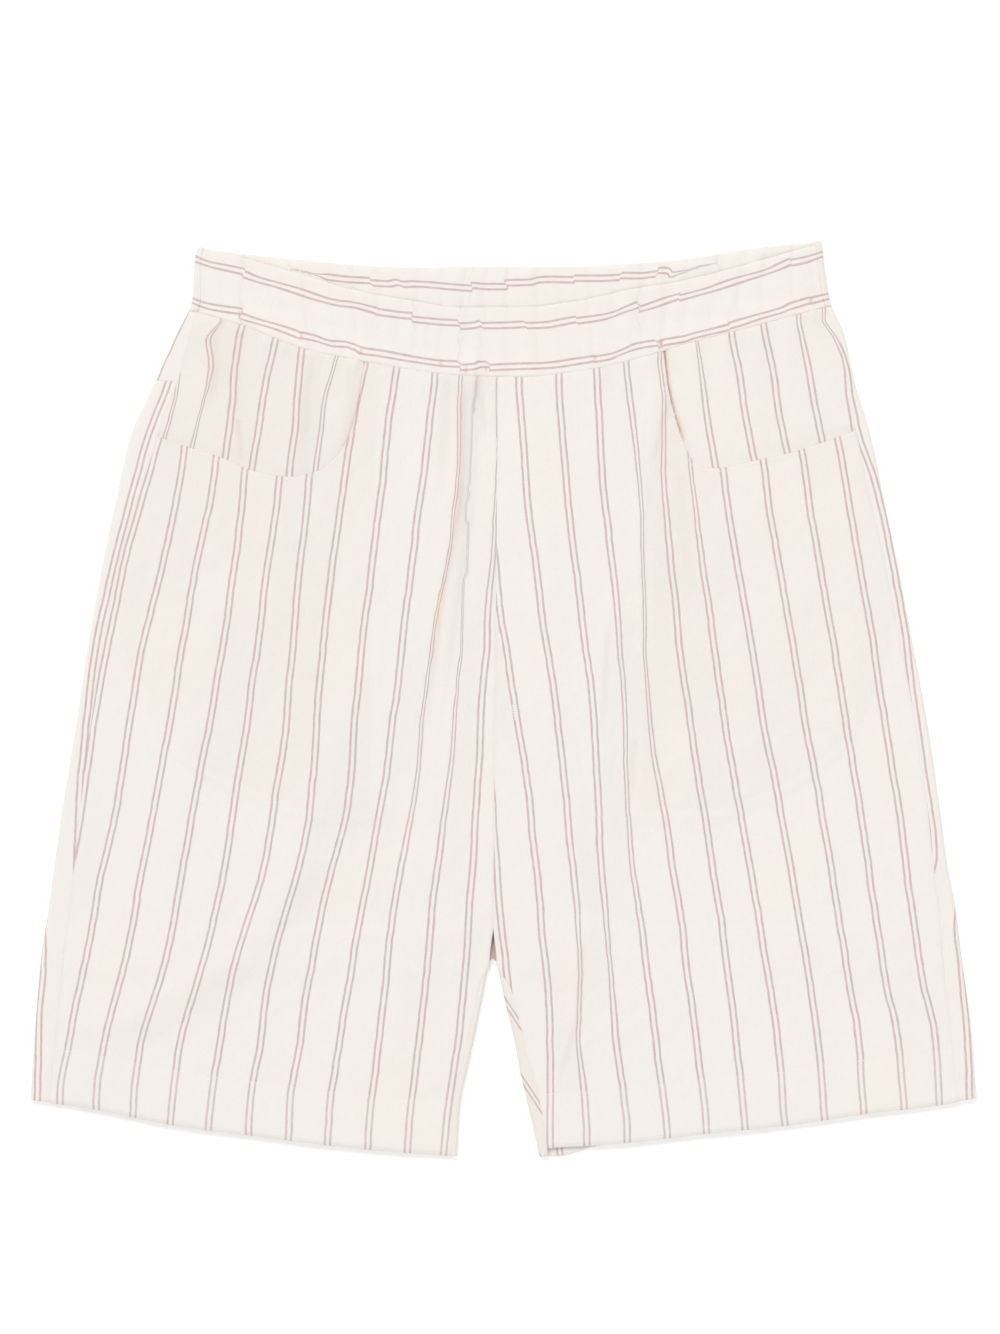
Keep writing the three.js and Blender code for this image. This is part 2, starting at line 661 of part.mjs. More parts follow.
const shorts = new THREE.Group();
shorts.name = "bermuda_shorts";
for (const leg of Object.values(LEGS)) {
  shorts.add(meshOf(`front_panel_${leg.side}`, frontPanel(leg), CLOTH_COLOUR, 0.9));
  shorts.add(meshOf(`back_panel_${leg.side}`, backPanel(leg), CLOTH_COLOUR, 0.9));
  shorts.add(meshOf(`hip_piece_${leg.side}`, hipPiece(leg), CLOTH_COLOUR, 0.9));
}
shorts.add(meshOf("waistband_front", frontBand(), BAND_COLOUR, 0.88));
shorts.add(meshOf("waistband_back", backBand(), BAND_COLOUR, 0.88));

export default shorts;
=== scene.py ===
"""Bermuda shorts with an elastic waistband, laid flat: cloth, stripes, folds and sewing.

Sizes are in millimetres until a mesh is made, and positions read off the photograph are in its
pixels, named as such. +X is across, +Y towards the waist, +Z up from the floor.
"""
import math

import bpy
import numpy as np
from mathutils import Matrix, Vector
from mathutils.bvhtree import BVHTree


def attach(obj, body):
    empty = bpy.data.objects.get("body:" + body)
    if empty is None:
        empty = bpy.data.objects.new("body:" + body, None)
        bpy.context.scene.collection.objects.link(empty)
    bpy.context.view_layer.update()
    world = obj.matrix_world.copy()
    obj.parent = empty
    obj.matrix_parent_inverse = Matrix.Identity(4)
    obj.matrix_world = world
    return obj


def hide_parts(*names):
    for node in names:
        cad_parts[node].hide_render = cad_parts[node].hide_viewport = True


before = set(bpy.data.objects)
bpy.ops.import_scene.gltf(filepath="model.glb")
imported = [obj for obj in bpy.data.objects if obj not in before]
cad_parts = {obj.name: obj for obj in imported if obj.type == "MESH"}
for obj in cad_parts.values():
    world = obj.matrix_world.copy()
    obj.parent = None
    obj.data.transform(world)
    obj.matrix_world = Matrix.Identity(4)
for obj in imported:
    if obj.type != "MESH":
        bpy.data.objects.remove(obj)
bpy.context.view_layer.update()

MM = 0.001

# The photograph: millimetres a pixel, and the pixel at the origin of the frame.
PIXEL = 0.54
ORIGIN_PX = (503.5, 699.0)
PHOTO_SIZE = (1000, 1334)

# Thickness of one layer, of the hem turned up double, of the scoops' edges and of the waistband.
CLOTH = 0.6
DOUBLE = 1.1
SCOOP_EDGE = 0.5
BAND_WALL = 2.4
# Gap between neighbours at a seam, how far the legs go on under the waistband, how far down they
# step there, and how far below a front the hip piece lies.
SEAM_GAP = 0.06
TUCK = 0.9
TUCK_STEP = 0.7
UNDER_SCOOP = 0.64

# Height of the outside of the top layer at the folded sides, at the waistband's ends and at the
# crotch, how far it swells inwards from the sides, and how far above the crotch it starts to dip.
EDGE_TOP = 4.6
BAND_TOP = 5.3
CROTCH_TOP = 3.2
SWELL = 1.0
SWELL_REACH = 45
DIP_START = 34
HEM_DEPTH = 29
BAND_HEIGHT = 35
# Height on the frame of the hems at the sides and at the inner legs.
HEM_SIDE_Y = -216
HEM_INNER_Y = -246

# Stripes are pairs of thin lines: from pair to pair, half the way between the two lines, half a
# line's width, and how far to each side of a pair the cloth keeps its true width.
PITCH = 21.6
PAIR_HALF = 1.48
LINE_HALF = 0.6
GUIDE_HALF = 2.6


def table(names, *rows):
    """Rows of numbers as a dictionary of named columns."""
    return {name: np.array(column, float) for name, column in zip(names.split(), zip(*rows))}


# The centre seam, from the waistband down to the crotch, and where the two fronts part above it.
CENTRE_WAIST = (-3.0, 175.5)
CENTRE_CROTCH = (-5.7, -142.6)
FRONTS_PART_Y = -120.4

# Silhouette of the garment, and how far in from it the side seam lies on the top side.
SIDES = table(
    "y left left_seam right right_seam",
    (249, -163.5, 3.6, 171.8, 3.6), (238, -166.8, 3.6, 173, 3.6),
    (216, -168.2, 4.6, 176.3, 3.6), (198, -176.5, 7.4, 183.9, 3.4),
    (173, -187.7, 12.3, 189.4, 3.8), (141, -201.9, 15.1, 198.7, 7.6),
    (111, -208.7, 12.2, 204.9, 7.4), (75, -216.3, 9.2, 212.5, 6.7), (30, -224.3, 8, 221.1, 6.6),
    (-21, -232.1, 8.2, 230.3, 6.5), (-56, -237.9, 9.7, 235.3, 6.7),
    (-87, -242.4, 10.8, 239.5, 7.6), (-115, -246, 11.6, 244.4, 9),
    (-137, -249.6, 12.3, 247.1, 10.2), (-171, -252.7, 12.2, 251.9, 11.3),
    (-216, -255.7, 10.6, 255.7, 10.5),
)

# Inner edges of the two legs below the crotch, and how far in from them the inseams lie.
INSIDES = table(
    "y left left_seam right right_seam",
    (-142.6, -7.8, 2.4, -3.6, 2.4), (-164, -11.9, 2.6, 0.9, 5.2), (-184, -15.9, 3, 5.7, 5.2),
    (-201, -19.6, 3.2, 8.9, 6.4), (-220, -23.4, 3.4, 13.2, 7), (-248, -25.1, 3.4, 19.7, 4.3),
)

# The waistband: top edge and lower seam of its front half, and top edge of its back half.
WAIST = table(
    "x top seam back",
    (-168, 244.6, 210, 244), (-141, 237.6, 201.8, 240.2), (-106, 227.9, 188.7, 236.7),
    (-83, 220.9, 183.9, 234.4), (-49, 214.4, 177.7, 232.8), (-23, 211.1, 174.8, 233.2),
    (9, 211.1, 174, 233.3), (40, 214.4, 176.9, 233.5), (72, 221.4, 183.8, 235.1),
    (96, 225.2, 191, 237.2), (138, 236, 202.2, 243.6), (176, 247, 212.4, 247.4),
)

# Hem edges: the front layer of each leg, and the back layer where it shows below the front.
HEMS = {
    "left": table(
        "x front back",
        (-256, -216.5, -216.5), (-221, -221.4, -221.4), (-181, -229.5, -229.5),
        (-138, -235.4, -235.4), (-74, -243, -243), (-25, -246.8, -246.8),
    ),
    "right": table(
        "x front back",
        (19, -243.2, -247), (31, -241.9, -246.6), (50, -240.9, -241.6), (69, -239.2, -239.2),
        (112, -234.4, -234.4), (155, -230, -230), (198, -223.6, -223.6), (236, -219.2, -219.2),
        (256, -215.5, -215.5),
    ),
}

# Scooped pocket openings, from the side seam in to the waistband.
SCOOPS = {
    "left": table(
        "x y",
        (-187.1, 141.5), (-167.7, 135), (-149.3, 129.1), (-135.8, 123.1), (-115.8, 119.9),
        (-101.3, 122.6), (-92.1, 129.1), (-84.5, 139.6), (-79.1, 156), (-74.8, 181.6),
    ),
    "right": table(
        "x y",
        (190.2, 145), (172, 138.2), (153.1, 132.3), (135.3, 128.5), (114.2, 124.4),
        (104.6, 126.4), (98.6, 135), (92, 154), (88.4, 170), (86.4, 187.4),
    ),
}

# Hip pieces go on under the fronts as pocket bags: where they end below, and their inner edges.
BAG_FLOORS = {
    "left": table(
        "x y", (-214, 40), (-191, -0.5), (-177, -26.5), (-131.5, -51.3), (-101, -61), (-71, -61)
    ),
    "right": table("x y", (210, 40), (196, 0), (180, -27), (142, -51), (112, -61), (73, -61)),
}
BAG_INNERS = {
    "left": table("y x", (190, -63), (129, -68), (-70, -71)),
    "right": table("y x", (195, 77), (129, 81), (-70, 71)),
}
# How high a bag lifts the front, how far the step blends out, and how wide and deep its crease is.
BAG_RELIEF = 0.7
BAG_BLEND = 9
BAG_CREASE = 2.2
BAG_CREASE_DEPTH = 0.16

# Gathers that the elastic makes: where along the seam, how high, how wide, and how far they reach.
GATHERS = table(
    "x height width reach",
    (-158, 0.7, 6, 40), (-141, 1, 6, 70), (-124, 0.7, 6, 50), (-109, 0.9, 6, 70),
    (-93, 0.7, 5, 45), (-78, 1, 6, 80), (-60, 0.7, 6, 50), (-45, 0.8, 6, 60), (-5, 0.9, 5, 55),
    (13, 0.9, 6, 60), (31, 0.8, 6, 60), (50, 1, 6, 80), (66, 0.8, 5, 60), (103, 1, 6, 60),
    (120, 0.7, 6, 45), (138, 0.7, 6, 60), (156, 0.8, 6, 45),
)

# Folds of the fronts, each along a crest line: height, width on its -X and on its +X side, how
# sharp it is (1 a crease, 2 a roll), and the shares of its length over which it starts and ends.
FOLDS = [
    (2.0, 13, 2.4, 2, 0.03, 0.45, [(-16, 180), (-17.5, 140), (-19, 104), (-27, 50), (-34, 0), (-41, -40)]),
    (1.1, 9, 7, 2, 0.12, 0.3, [(17, 165), (24, 60), (30, -40)]),
    (1.7, 3, 9, 2, 0.1, 0.3, [(83, 180), (77.5, 130), (76, 100), (77, 42), (80, -22)]),
    (1.0, 5, 8, 2, 0.12, 0.3, [(57, 60), (54, 0), (50, -60)]),
    (1.0, 12, 12, 2, 0.12, 0.3, [(128, 60), (140, -60), (150, -170)]),
    (1.4, 4, 9, 2, 0.12, 0.3, [(43, -112), (42, -162), (36, -190), (28, -212)]),
    (1.3, 10, 10, 2, 0.12, 0.3, [(-72, 30), (-100, -60), (-124, -120)]),
    (1.6, 12, 9, 2, 0.12, 0.3, [(-96, -76), (-140, -140), (-186, -170), (-234, -188)]),
    (1.1, 11, 11, 2, 0.12, 0.3, [(-150, 70), (-170, -20), (-186, -110)]),
    (1.0, 10, 10, 2, 0.12, 0.3, [(-50, -70), (-56, -150), (-60, -215)]),
    (-0.7, 2.5, 2.5, 2, 0.05, 0.5, [(-11.5, 172), (-10.5, 150), (-6.5, 139)]),
    (-0.8, 4, 2, 1.4, 0.1, 0.4, [(69, 43), (72, -10), (71, -60)]),
    (0.5, 7, 5, 2, 0.2, 0.4, [(-118, 104), (-124, 60), (-128, 10)]),
    (0.45, 6, 6, 2, 0.2, 0.4, [(-96, 112), (-98, 70), (-104, 30)]),
    (0.5, 6, 8, 2, 0.2, 0.4, [(118, 112), (126, 60), (132, 20)]),
    (-0.5, 7, 7, 2, 0.2, 0.4, [(-190, 90), (-198, 30), (-206, -40)]),
    (0.5, 8, 6, 2, 0.2, 0.4, [(176, 110), (188, 40), (196, -30)]),
    (-0.6, 9, 9, 2, 0.2, 0.4, [(98, -30), (112, -110), (118, -190)]),
    (0.6, 10, 8, 2, 0.2, 0.4, [(196, -50), (208, -130), (212, -200)]),
    (-0.6, 8, 12, 2, 0.2, 0.4, [(-70, -60), (-84, -130), (-92, -200)]),
    (0.45, 5, 9, 1.6, 0.3, 0.4, [(-228, -150), (-196, -141), (-168, -128), (-142, -104)]),
    (0.5, 4, 9, 1.7, 0.3, 0.4, [(60, -130), (66, -160), (64, -190)]),
    (-0.5, 5, 5, 2, 0.2, 0.5, [(-52, 168), (-54, 120), (-58, 90)]),
    (-0.45, 5, 5, 2, 0.2, 0.5, [(40, 172), (44, 120), (47, 84)]),
    (0.4, 8, 4, 1.8, 0.2, 0.4, [(-60, -20), (-66, -60), (-80, -100)]),
]

# Small puckers below the waistband, every few millimetres along the cloth.
PUCKER_EVERY = 6.5
PUCKER_HEIGHT = (0.15, 0.65)
PUCKER_WIDTH = (1.5, 3.2)
PUCKER_REACH = (8, 42)

# Stripe centres in the photograph: the pixel across at each pixel down, one row a stripe.
FRONT_LEVELS = (365, 400, 480, 560, 640, 720, 800, 880, 960, 1040, 1095, 1160)
FRONT_STRIPES = {
    "left": [
        (178, 170, 147.5, 125.5, 109, 94, 83, 68, 47, 31, 22, 20),
        (199, 192, 180, 164, 144, 130, 118, 100.5, 85.8, 69, 60.5, 60),
        (229, 222, 214, 197.5, 183.5, 170.5, 155.8, 140.5, 125.8, 104.8, 97, 95),
        (259, 252, 244.5, 235.5, 224, 210.5, 195, 181, 166, 141.8, 134, 131),
        (293, 288, 280, 268.7, 258.5, 247.5, 235, 222.5, 203.8, 181, 172.8, 168),
        (320, 315, 309.5, 300.7, 293.3, 286.5, 275.3, 261, 235.5, 220.5, 211.8, 207),
        (365, 357, 344.5, 333.3, 323.8, 317, 311.5, 295.8, 272.5, 260.5, 251.5, 247),
        (397, 391.5, 382.5, 372.8, 362.8, 355, 348.8, 329, 312.3, 300, 291.3, 287),
        (436, 432.5, 422.7, 412.3, 402.8, 393.3, 382, 367.3, 352.8, 340, 331.3, 326),
        (461, 460, 457.5, 447.5, 432.5, 422.5, 414.3, 398.3, 387.5, 379.5, 371.8, 367),
        (479, 475, 468.7, 466, 461, 455, 446.8, 435.5, 427.8, 419.5, 412, 407),
        (498.1, 498, 497.3, 492.2, 486.5, 481, 476.8, 471.5, 466, 458.5, 449.8, 443),
    ],
    "right": [
        (470, 470, 472, 474, 478, 486, 493.5, 497.3, 505.3, 511, 511, 511),
        (477, 478, 484, 494.5, 504.5, 517.5, 529.3, 537.3, 545, 550.5, 550, 551),
        (518, 520.5, 525.8, 535, 545.8, 557.8, 566, 574, 580, 578.5, 584.3, 588),
        (558, 560, 566, 574.8, 584.8, 594, 598, 602.3, 609.8, 615.8, 624, 628),
        (596, 598.3, 602.5, 612, 619.5, 625, 627, 634.5, 646, 655.5, 663.5, 668),
        (626, 630, 639.5, 643, 644.8, 649.5, 662, 675, 686, 696, 703.5, 708),
        (660, 663.5, 663.8, 671, 678.8, 689.8, 702, 714.8, 726.3, 736, 742, 748),
        (682, 685, 692, 702, 713.3, 724.3, 738, 752.3, 765.3, 777.8, 782.3, 789),
        (712, 716, 724, 736.3, 750.5, 762.8, 778.5, 792.5, 806, 817.8, 822.8, 829),
        (750, 755, 765.3, 777.8, 792, 804.8, 819.5, 832.8, 845.3, 858.3, 862.5, 868),
        (789, 794, 805.8, 818.5, 832.8, 845.3, 858.5, 870.3, 882, 897.3, 903.5, 906),
        (826, 831, 845, 858.5, 872.5, 884.3, 897.5, 908, 919, 935, 939.3, 941),
    ],
}
# Share of its width that shows of a stripe on the wall of a fold, at each of the same levels.
NARROW = {
    "left": {
        9: (0.6, 0.6, 0.5, 0.38, 0.38, 0.45, 0.7, 1, 1, 1, 1, 1),
        10: (0.09, 0.04, 0.03, 0.05, 0.22, 0.5, 0.8, 1, 1, 1, 1, 1),
        11: (0.3, 0.3, 0.4, 0.72, 1, 1, 1, 1, 1, 1, 1, 1),
    },
    "right": {
        0: (1, 1, 1, 1, 1, 1, 0.6, 1, 1, 1, 1, 1),
        2: (1, 1, 1, 1, 1, 1, 1, 1, 0.6, 0.6, 1, 1),
        3: (1, 1, 1, 1, 1, 1, 1, 1, 0.65, 1, 1, 1),
        4: (1, 1, 1, 1, 0.8, 0.65, 0.6, 0.8, 1, 1, 1, 1),
        5: (0.9, 0.9, 0.6, 0.45, 0.45, 0.6, 0.9, 1, 1, 1, 1, 1),
        6: (0.6, 0.6, 0.8, 1, 1, 1, 1, 1, 1, 1, 1, 1),
        7: (0.5, 0.5, 0.6, 0.9, 1, 1, 1, 1, 1, 1, 1, 1),
    },
}
# The same for the hip pieces, where they show in the scoops.
HIP_LEVELS = (322, 341, 366, 400, 470)
HIP_STRIPES = {
    "left": [
        (190, 184.5, 180, 174.5, 156),
        (221, 208.5, 211.5, 203.5, 187),
        (243, 238.5, 235.5, 232.5, 224),
        (279, 275, 270, 263, 252),
        (304.5, 302.5, 300.5, 297.5, 290),
        (348, 342, 334.5, 325, 316),
        (385, 379, 371, 362, 352),
    ],
    "right": [
        (659, 661, 663.5, 667, 677),
        (694, 697, 700.5, 704.5, 716),
        (730, 733, 737.5, 743, 755.5),
        (763, 766.5, 771.5, 777, 790),
        (799, 802.5, 807.5, 814, 828.5),
        (824, 836.5, 846, 850, 862),
    ],
}
HIP_NARROW = {
    "left": {
        0: (0.5, 0.5, 0.5, 0.5, 0.6),
        1: (0.3, 0.75, 0.8, 0.35, 0.8),
        5: (0.8, 0.6, 0.5, 0.6, 0.8),
    },
    "right": {1: (0.3, 0.4, 0.6, 0.9, 1), 4: (0.7, 0.8, 1, 1, 1), 5: (0.5, 0.6, 0.8, 1, 1)},
}
# A small pleat jogs the stripes of the left side: where, and half the gap of the rows beside it.
PLEAT_PX = 380.6
PLEAT_HALF = 0.1
# Stripes of the back panels, where they come round the sides to the top.
WRAP_LEVELS = {
    "left": (312, 345, 378, 380.5, 380.7, 383, 433, 480, 560, 640, 720, 800, 860, 960, 1040, 1095, 1160),
    "right": (312, 345, 370, 400, 433, 480, 560, 640, 720, 800, 853, 926, 960, 1040, 1160),
}
WRAP_STRIPES = {
    "left": [
        (146.5, 131.5, 116.5, 115.7, 128.6, 127.8, 113.5, 97, 77, 60, 48, 41.5, 39, 43, 38, 37.8, 37.5),
        (188.5, 173.6, 158.4, 157.6, 168.6, 167.8, 149.5, 135.5, 115, 97, 86.5, 79.5, 77, 81, 77, 76.5, 76),
        (222, 208, 193, 192, 203, 202.1, 185, 175, 154, 136, 126, 118, 115, 112, 110, 110, 110),
    ],
    "right": [
        (797, 803, 808.5, 814, 821, 835, 853, 867, 877, 889, 895, 882, 884, 891, 896),
        (821, 838, 846.5, 851, 858, 874.5, 892.5, 906, 916, 928, 934, 920, 922, 929, 934),
        (868, 878, 884, 892, 900, 914, 932, 944, 955, 966, 968, 957, 960.5, 967.5, 972),
    ],
}
# Share of its width that shows of a pair of the sides that turns away from view.
WRAP_NARROW = {"left": {1: (0.4, 0.4, 0.4, 0.4, 1, 1, 1, 1, 1, 1, 1, 1, 1, 1, 1, 1, 1)}, "right": {}}

# The waistband's stripe pairs in pixels of the photograph, across and down. Where a pinch hides
# cloth, one run ends and the next starts a little higher or lower.
BAND_UPPER = [
    [(193, 257), (200, 260.5), (212, 265), (228, 268.5), (244, 272)],
    [(244, 274.3), (262, 280.5), (280, 286), (300, 292), (318, 297.5), (340, 303.5), (350, 304.5),
     (376, 310.8)],
    [(376, 311.6), (400, 315), (413, 316)],
    [(413, 319.3), (440, 322), (459, 323)],
    [(459, 326.3), (472, 325.5), (481, 323.3)],
    [(481, 325.8), (500, 325.5), (525, 324.3)],
    [(525, 325.8), (545, 325), (560, 322.5), (577, 319.3)],
    [(577, 321), (600, 318), (612, 315), (622, 310.5), (638, 304.5)],
    [(638, 309.5), (650, 306), (662, 302), (680, 296.3)],
    [(680, 298.2), (700, 292.5), (720, 286), (740, 280), (760, 274), (776, 267.5), (791, 261.5)],
    [(791, 262.8), (806, 260), (823, 254), (834, 250)],
]
BAND_LOWER = [
    [(186, 297), (193, 300.5), (200, 304), (210, 307), (225, 309.5), (241, 311.5)],
    [(241, 316.3), (256, 321), (275, 327), (290, 332), (302, 336.3)],
    [(302, 335.6), (316, 338.5), (333, 344), (345, 344.5), (352, 347.3)],
    [(352, 346.4), (361, 351), (380, 353.5), (400, 357), (430, 362), (442, 363.5), (459, 364.5)],
    [(459, 367.8), (473, 367), (480, 364.5), (488, 364.5)],
    [(488, 368), (505, 367), (530, 366.3), (550, 365.3), (572, 362.3), (595, 358.8)],
    [(595, 359.6), (612, 356.5), (622, 352), (632, 347.5), (642, 345), (657, 343)],
    [(657, 345.6), (664, 342.8), (684, 339.5), (696, 335.8), (710, 332), (728, 327.6)],
    [(728, 326.3), (745, 321.5), (760, 317), (780, 310.8), (790, 306.5), (800, 303.5), (811, 300.3)],
    [(811, 301), (829, 296.5), (836, 294)],
]
# The pair on the inside of the back half, which shows above the front half's top edge.
BACK_PAIR = [
    [(190, 282), (289, 277.5)],
    [(289, 268.2), (304, 271.6), (317, 274.3)],
    [(317, 274.3), (322, 275.2), (330, 276.8), (350, 279.2), (371, 280.2)],
    [(371, 282.5), (390, 283.5), (397, 282), (404, 284), (413, 283.5), (430, 284.5), (450, 286.5),
     (471, 288)],
    [(471, 285), (490, 286.3), (506, 286.3)],
    [(506, 282.5), (530, 282), (540, 279.5), (550, 279), (575, 279.5)],
    [(575, 277.8), (600, 278), (621, 277)],
    [(621, 275.2), (640, 275.3), (657, 273.5)],
    [(657, 270.3), (664, 270), (668, 271), (672, 274.3), (681, 271.8), (687, 270), (697, 266.7),
     (718, 262.3)],
    [(718, 283.5), (760, 276), (800, 260), (832, 252)],
]
# Share of its width that shows of that pair, at pixels across: its lines run together at its ends.
BACK_PAIR_NARROW = table(
    "x share",
    (289, 0.08), (304, 0.14), (317, 0.25), (330, 1), (668, 1), (681, 0.5), (688, 0.25),
    (700, 0.18), (717, 0.05),
)
# Knots where the waistband's gathers are caught together, in pixels, and how much painted shade each gets.
KNOTS = table(
    "x y shade",
    (240, 314.5, 1.4), (301.5, 337.5, 1.3), (361, 352.5, 1.2), (441, 363.5, 1), (466, 371, 1.4),
    (486, 368.5, 1.2), (595, 358.5, 1), (661, 343.5, 2.2), (811, 300.5, 1.3),
)
# Where the elastic pinches the waistband, in pixels across, and how deep each pinch is.
PINCHES = table(
    "x depth",
    (205, 0.5), (243, 0.7), (272, 0.3), (305, 0.7), (330, 0.35), (352, 0.8), (376, 0.6),
    (414, 0.7), (440, 0.6), (464, 0.9), (485, 1.0), (508, 0.4), (538, 0.7), (560, 0.4),
    (589, 0.7), (612, 0.4), (640, 0.8), (661, 1.0), (684, 0.7), (712, 0.5), (740, 0.4),
    (765, 0.6), (794, 0.6), (814, 0.5),
)


def smooth(t):
    """0 below 0, 1 above 1, and a soft step between."""
    c = np.clip(t, 0, 1)
    return c * c * (3 - 2 * c)


def mix(a, b, t):
    return a + (b - a) * t


def bell(distance, width):
    """1 at no distance, and falling off to both sides over a width."""
    return np.exp(-((distance / width) ** 2))


def px_x(px):
    """Millimetres across the frame for a pixel across the photograph."""
    return (np.asarray(px, float) - ORIGIN_PX[0]) * PIXEL


def px_y(px):
    """Millimetres up the frame for a pixel down the photograph."""
    return (ORIGIN_PX[1] - np.asarray(px, float)) * PIXEL


def to_px(x):
    """The pixel across the photograph for millimetres across the frame."""
    return x / PIXEL + ORIGIN_PX[0]


def curve(t, f):
    """A smooth function through points, with no overshoot, and level beyond its ends."""
    order = np.argsort(t)
    t, f = np.asarray(t, float)[order], np.asarray(f, float)[order]
    rise = np.diff(f) / np.diff(t)
    before, after = rise[:-1], rise[1:]
    same = before * after > 0
    inside = np.where(same, 2 * before * after / np.where(same, before + after, 1), 0)
    slope = np.concatenate([rise[:1], inside, rise[-1:]])

    def at(q):
        q = np.clip(q, t[0], t[-1])
        i = np.clip(np.searchsorted(t, q) - 1, 0, len(t) - 2)
        h = t[i + 1] - t[i]
        s = (q - t[i]) / h
        start = (1 + 2 * s) * (1 - s) ** 2 * f[i] + s * (1 - s) ** 2 * h * slope[i]
        end = s * s * (3 - 2 * s) * f[i + 1] - s * s * (1 - s) * h * slope[i + 1]
        return start + end

    return at


def through(rows, at, value):
    return curve(rows[at], rows[value])


band_top = through(WAIST, "x", "top")
waist_seam = through(WAIST, "x", "seam")
back_top = through(WAIST, "x", "back")


def back_seam(x):
    return back_top(x) - BAND_HEIGHT


def centre_x(y):
    t = (CENTRE_WAIST[1] - y) / (CENTRE_WAIST[1] - CENTRE_CROTCH[1])
    return mix(CENTRE_WAIST[0], CENTRE_CROTCH[0], t)


def turn_radius(y):
    """Half the height of the folded inner edge of a leg: low at the crotch, full at the hem."""
    return mix(CROTCH_TOP, EDGE_TOP, smooth((CENTRE_CROTCH[1] - y) / 40)) / 2


class Leg:
    """Everything about one leg that depends on its side. `out` points away from the centre."""

    def __init__(self, side):
        self.side = side
        self.out = -1 if side == "left" else 1
        self.outline = through(SIDES, "y", side)
        self.seam_inset = through(SIDES, "y", f"{side}_seam")
        self.inside = through(INSIDES, "y", side)
        self.inseam_inset = through(INSIDES, "y", f"{side}_seam")
        self.scoop = through(SCOOPS[side], "x", "y")
        self.corner = (SCOOPS[side]["x"][0], SCOOPS[side]["y"][0])
        self.mouth_x = SCOOPS[side]["x"][-1]
        self.bag_floor = through(BAG_FLOORS[side], "x", "y")
        self.bag_inner = through(BAG_INNERS[side], "y", "x")
        self.hem_front = through(HEMS[side], "x", "front")
        self.hem_back = through(HEMS[side], "x", "back")

    def side_seam(self, y):
        return self.outline(y) - self.out * self.seam_inset(y)

    def inseam(self, y):
        return self.inside(y) + self.out * self.inseam_inset(y)

    def front_inner(self, y):
        """The front's inner edge: the centre seam, and below it the inseam."""
        own = centre_x(y) + self.out * SEAM_GAP / 2
        part = smooth((FRONTS_PART_Y - y) / (FRONTS_PART_Y - CENTRE_CROTCH[1]))
        inset = (self.inseam_inset(y) + SEAM_GAP) * smooth((CENTRE_CROTCH[1] - y) / 14)
        return mix(own, self.inside(y) + self.out * inset, part)

    def back_inner(self, y):
        """The back's inner edge on the floor, where its fold round the inner leg starts."""
        own = centre_x(y) + self.out * SEAM_GAP / 2
        part = smooth((CENTRE_CROTCH[1] + 2.2 - y) / 2.4)
        return mix(own, self.inside(y) + self.out * turn_radius(y), part)

    def front_top(self, x):
        """Top edge of the front: the scoop, then the waist seam with its tuck, let in gently."""
        inward = self.out * (self.mouth_x - x)
        below_band = waist_seam(x) - 0.3 + (TUCK + 0.3) * smooth((inward - 1) / 6)
        return np.where(inward < 0, self.scoop(x), below_band)


LEGS = {side: Leg(side) for side in ("left", "right")}


def near_line(line, x, y):
    """Signed distance from a crest line, + on its +X side, and the share along it, from 0 to 1."""
    line = np.array(line, float)
    lengths = np.hypot(*np.diff(line, axis=0).T)
    whole = lengths.sum()
    best = np.full(np.shape(x), np.inf)
    along_best = np.zeros(np.shape(x))
    side = np.ones(np.shape(x))
    before = 0.0
    for (ax, ay), (bx, by), length in zip(line[:-1], line[1:], lengths):
        dx, dy = (bx - ax) / length, (by - ay) / length
        along = np.clip((x - ax) * dx + (y - ay) * dy, 0, length)
        off_x = x - ax - dx * along
        off = np.hypot(off_x, y - ay - dy * along)
        closer = off < best
        best = np.where(closer, off, best)
        along_best = np.where(closer, (before + along) / whole, along_best)
        side = np.where(closer, np.where(off_x < 0, -1, 1), side)
        before += length
    return best * side, along_best


def folds_at(x, y, folds):
    """Height that the folds of a list add at each point."""
    total = np.zeros(np.shape(x))
    for height, west, east, power, start, end, line in folds:
        off, along = near_line(line, x, y)
        fade = smooth(along / start) * smooth((1 - along) / end)
        width = np.where(off < 0, west, east)
        total += height * fade * np.exp(-np.abs(off / width) ** power)
    return total


def gathers_at(x, down):
    """Height that the elastic's gathers add at a place across, `down` below the waist seam."""
    total = np.zeros(np.shape(x))
    for at, height, width, reach in zip(*GATHERS.values()):
        total += height * (1 - smooth(down / reach)) * bell(x - at, width)
    return total


def puckers_at(across, down, seed):
    """Small uneven puckers below a gathered seam, `across` and `down` measured on the cloth."""
    dice = np.random.RandomState(seed)
    total = np.zeros(np.shape(across))
    low, high = float(np.min(across)), float(np.max(across))
    for start in np.arange(low, high, PUCKER_EVERY):
        at = start + dice.uniform(-2.5, 2.5)
        spans = (PUCKER_HEIGHT, PUCKER_WIDTH, PUCKER_REACH)
        height, width, reach = (dice.uniform(*span) for span in spans)
        total += height * (1 - smooth(down / reach)) * bell(across - at, width)
    return total


def waves(x, y, seed, count, shortest, longest, height, lean):
    """An uneven surface: waves of random length and place, lying within `lean` degrees of +Y."""
    dice = np.random.RandomState(seed)
    total = np.zeros(np.shape(x))
    for _ in range(count):
        length = dice.uniform(shortest, longest)
        angle = math.radians(dice.uniform(-lean, lean))
        phase = dice.uniform(0, 2 * math.pi)
        drift = 6 * np.sin(y / dice.uniform(40, 90) + dice.uniform(0, 6))
        run = (x + drift) * math.cos(angle) + y * math.sin(angle)
        total += (length / longest) * np.sin(2 * math.pi * run / length + phase)
    return height * total / math.sqrt(count)


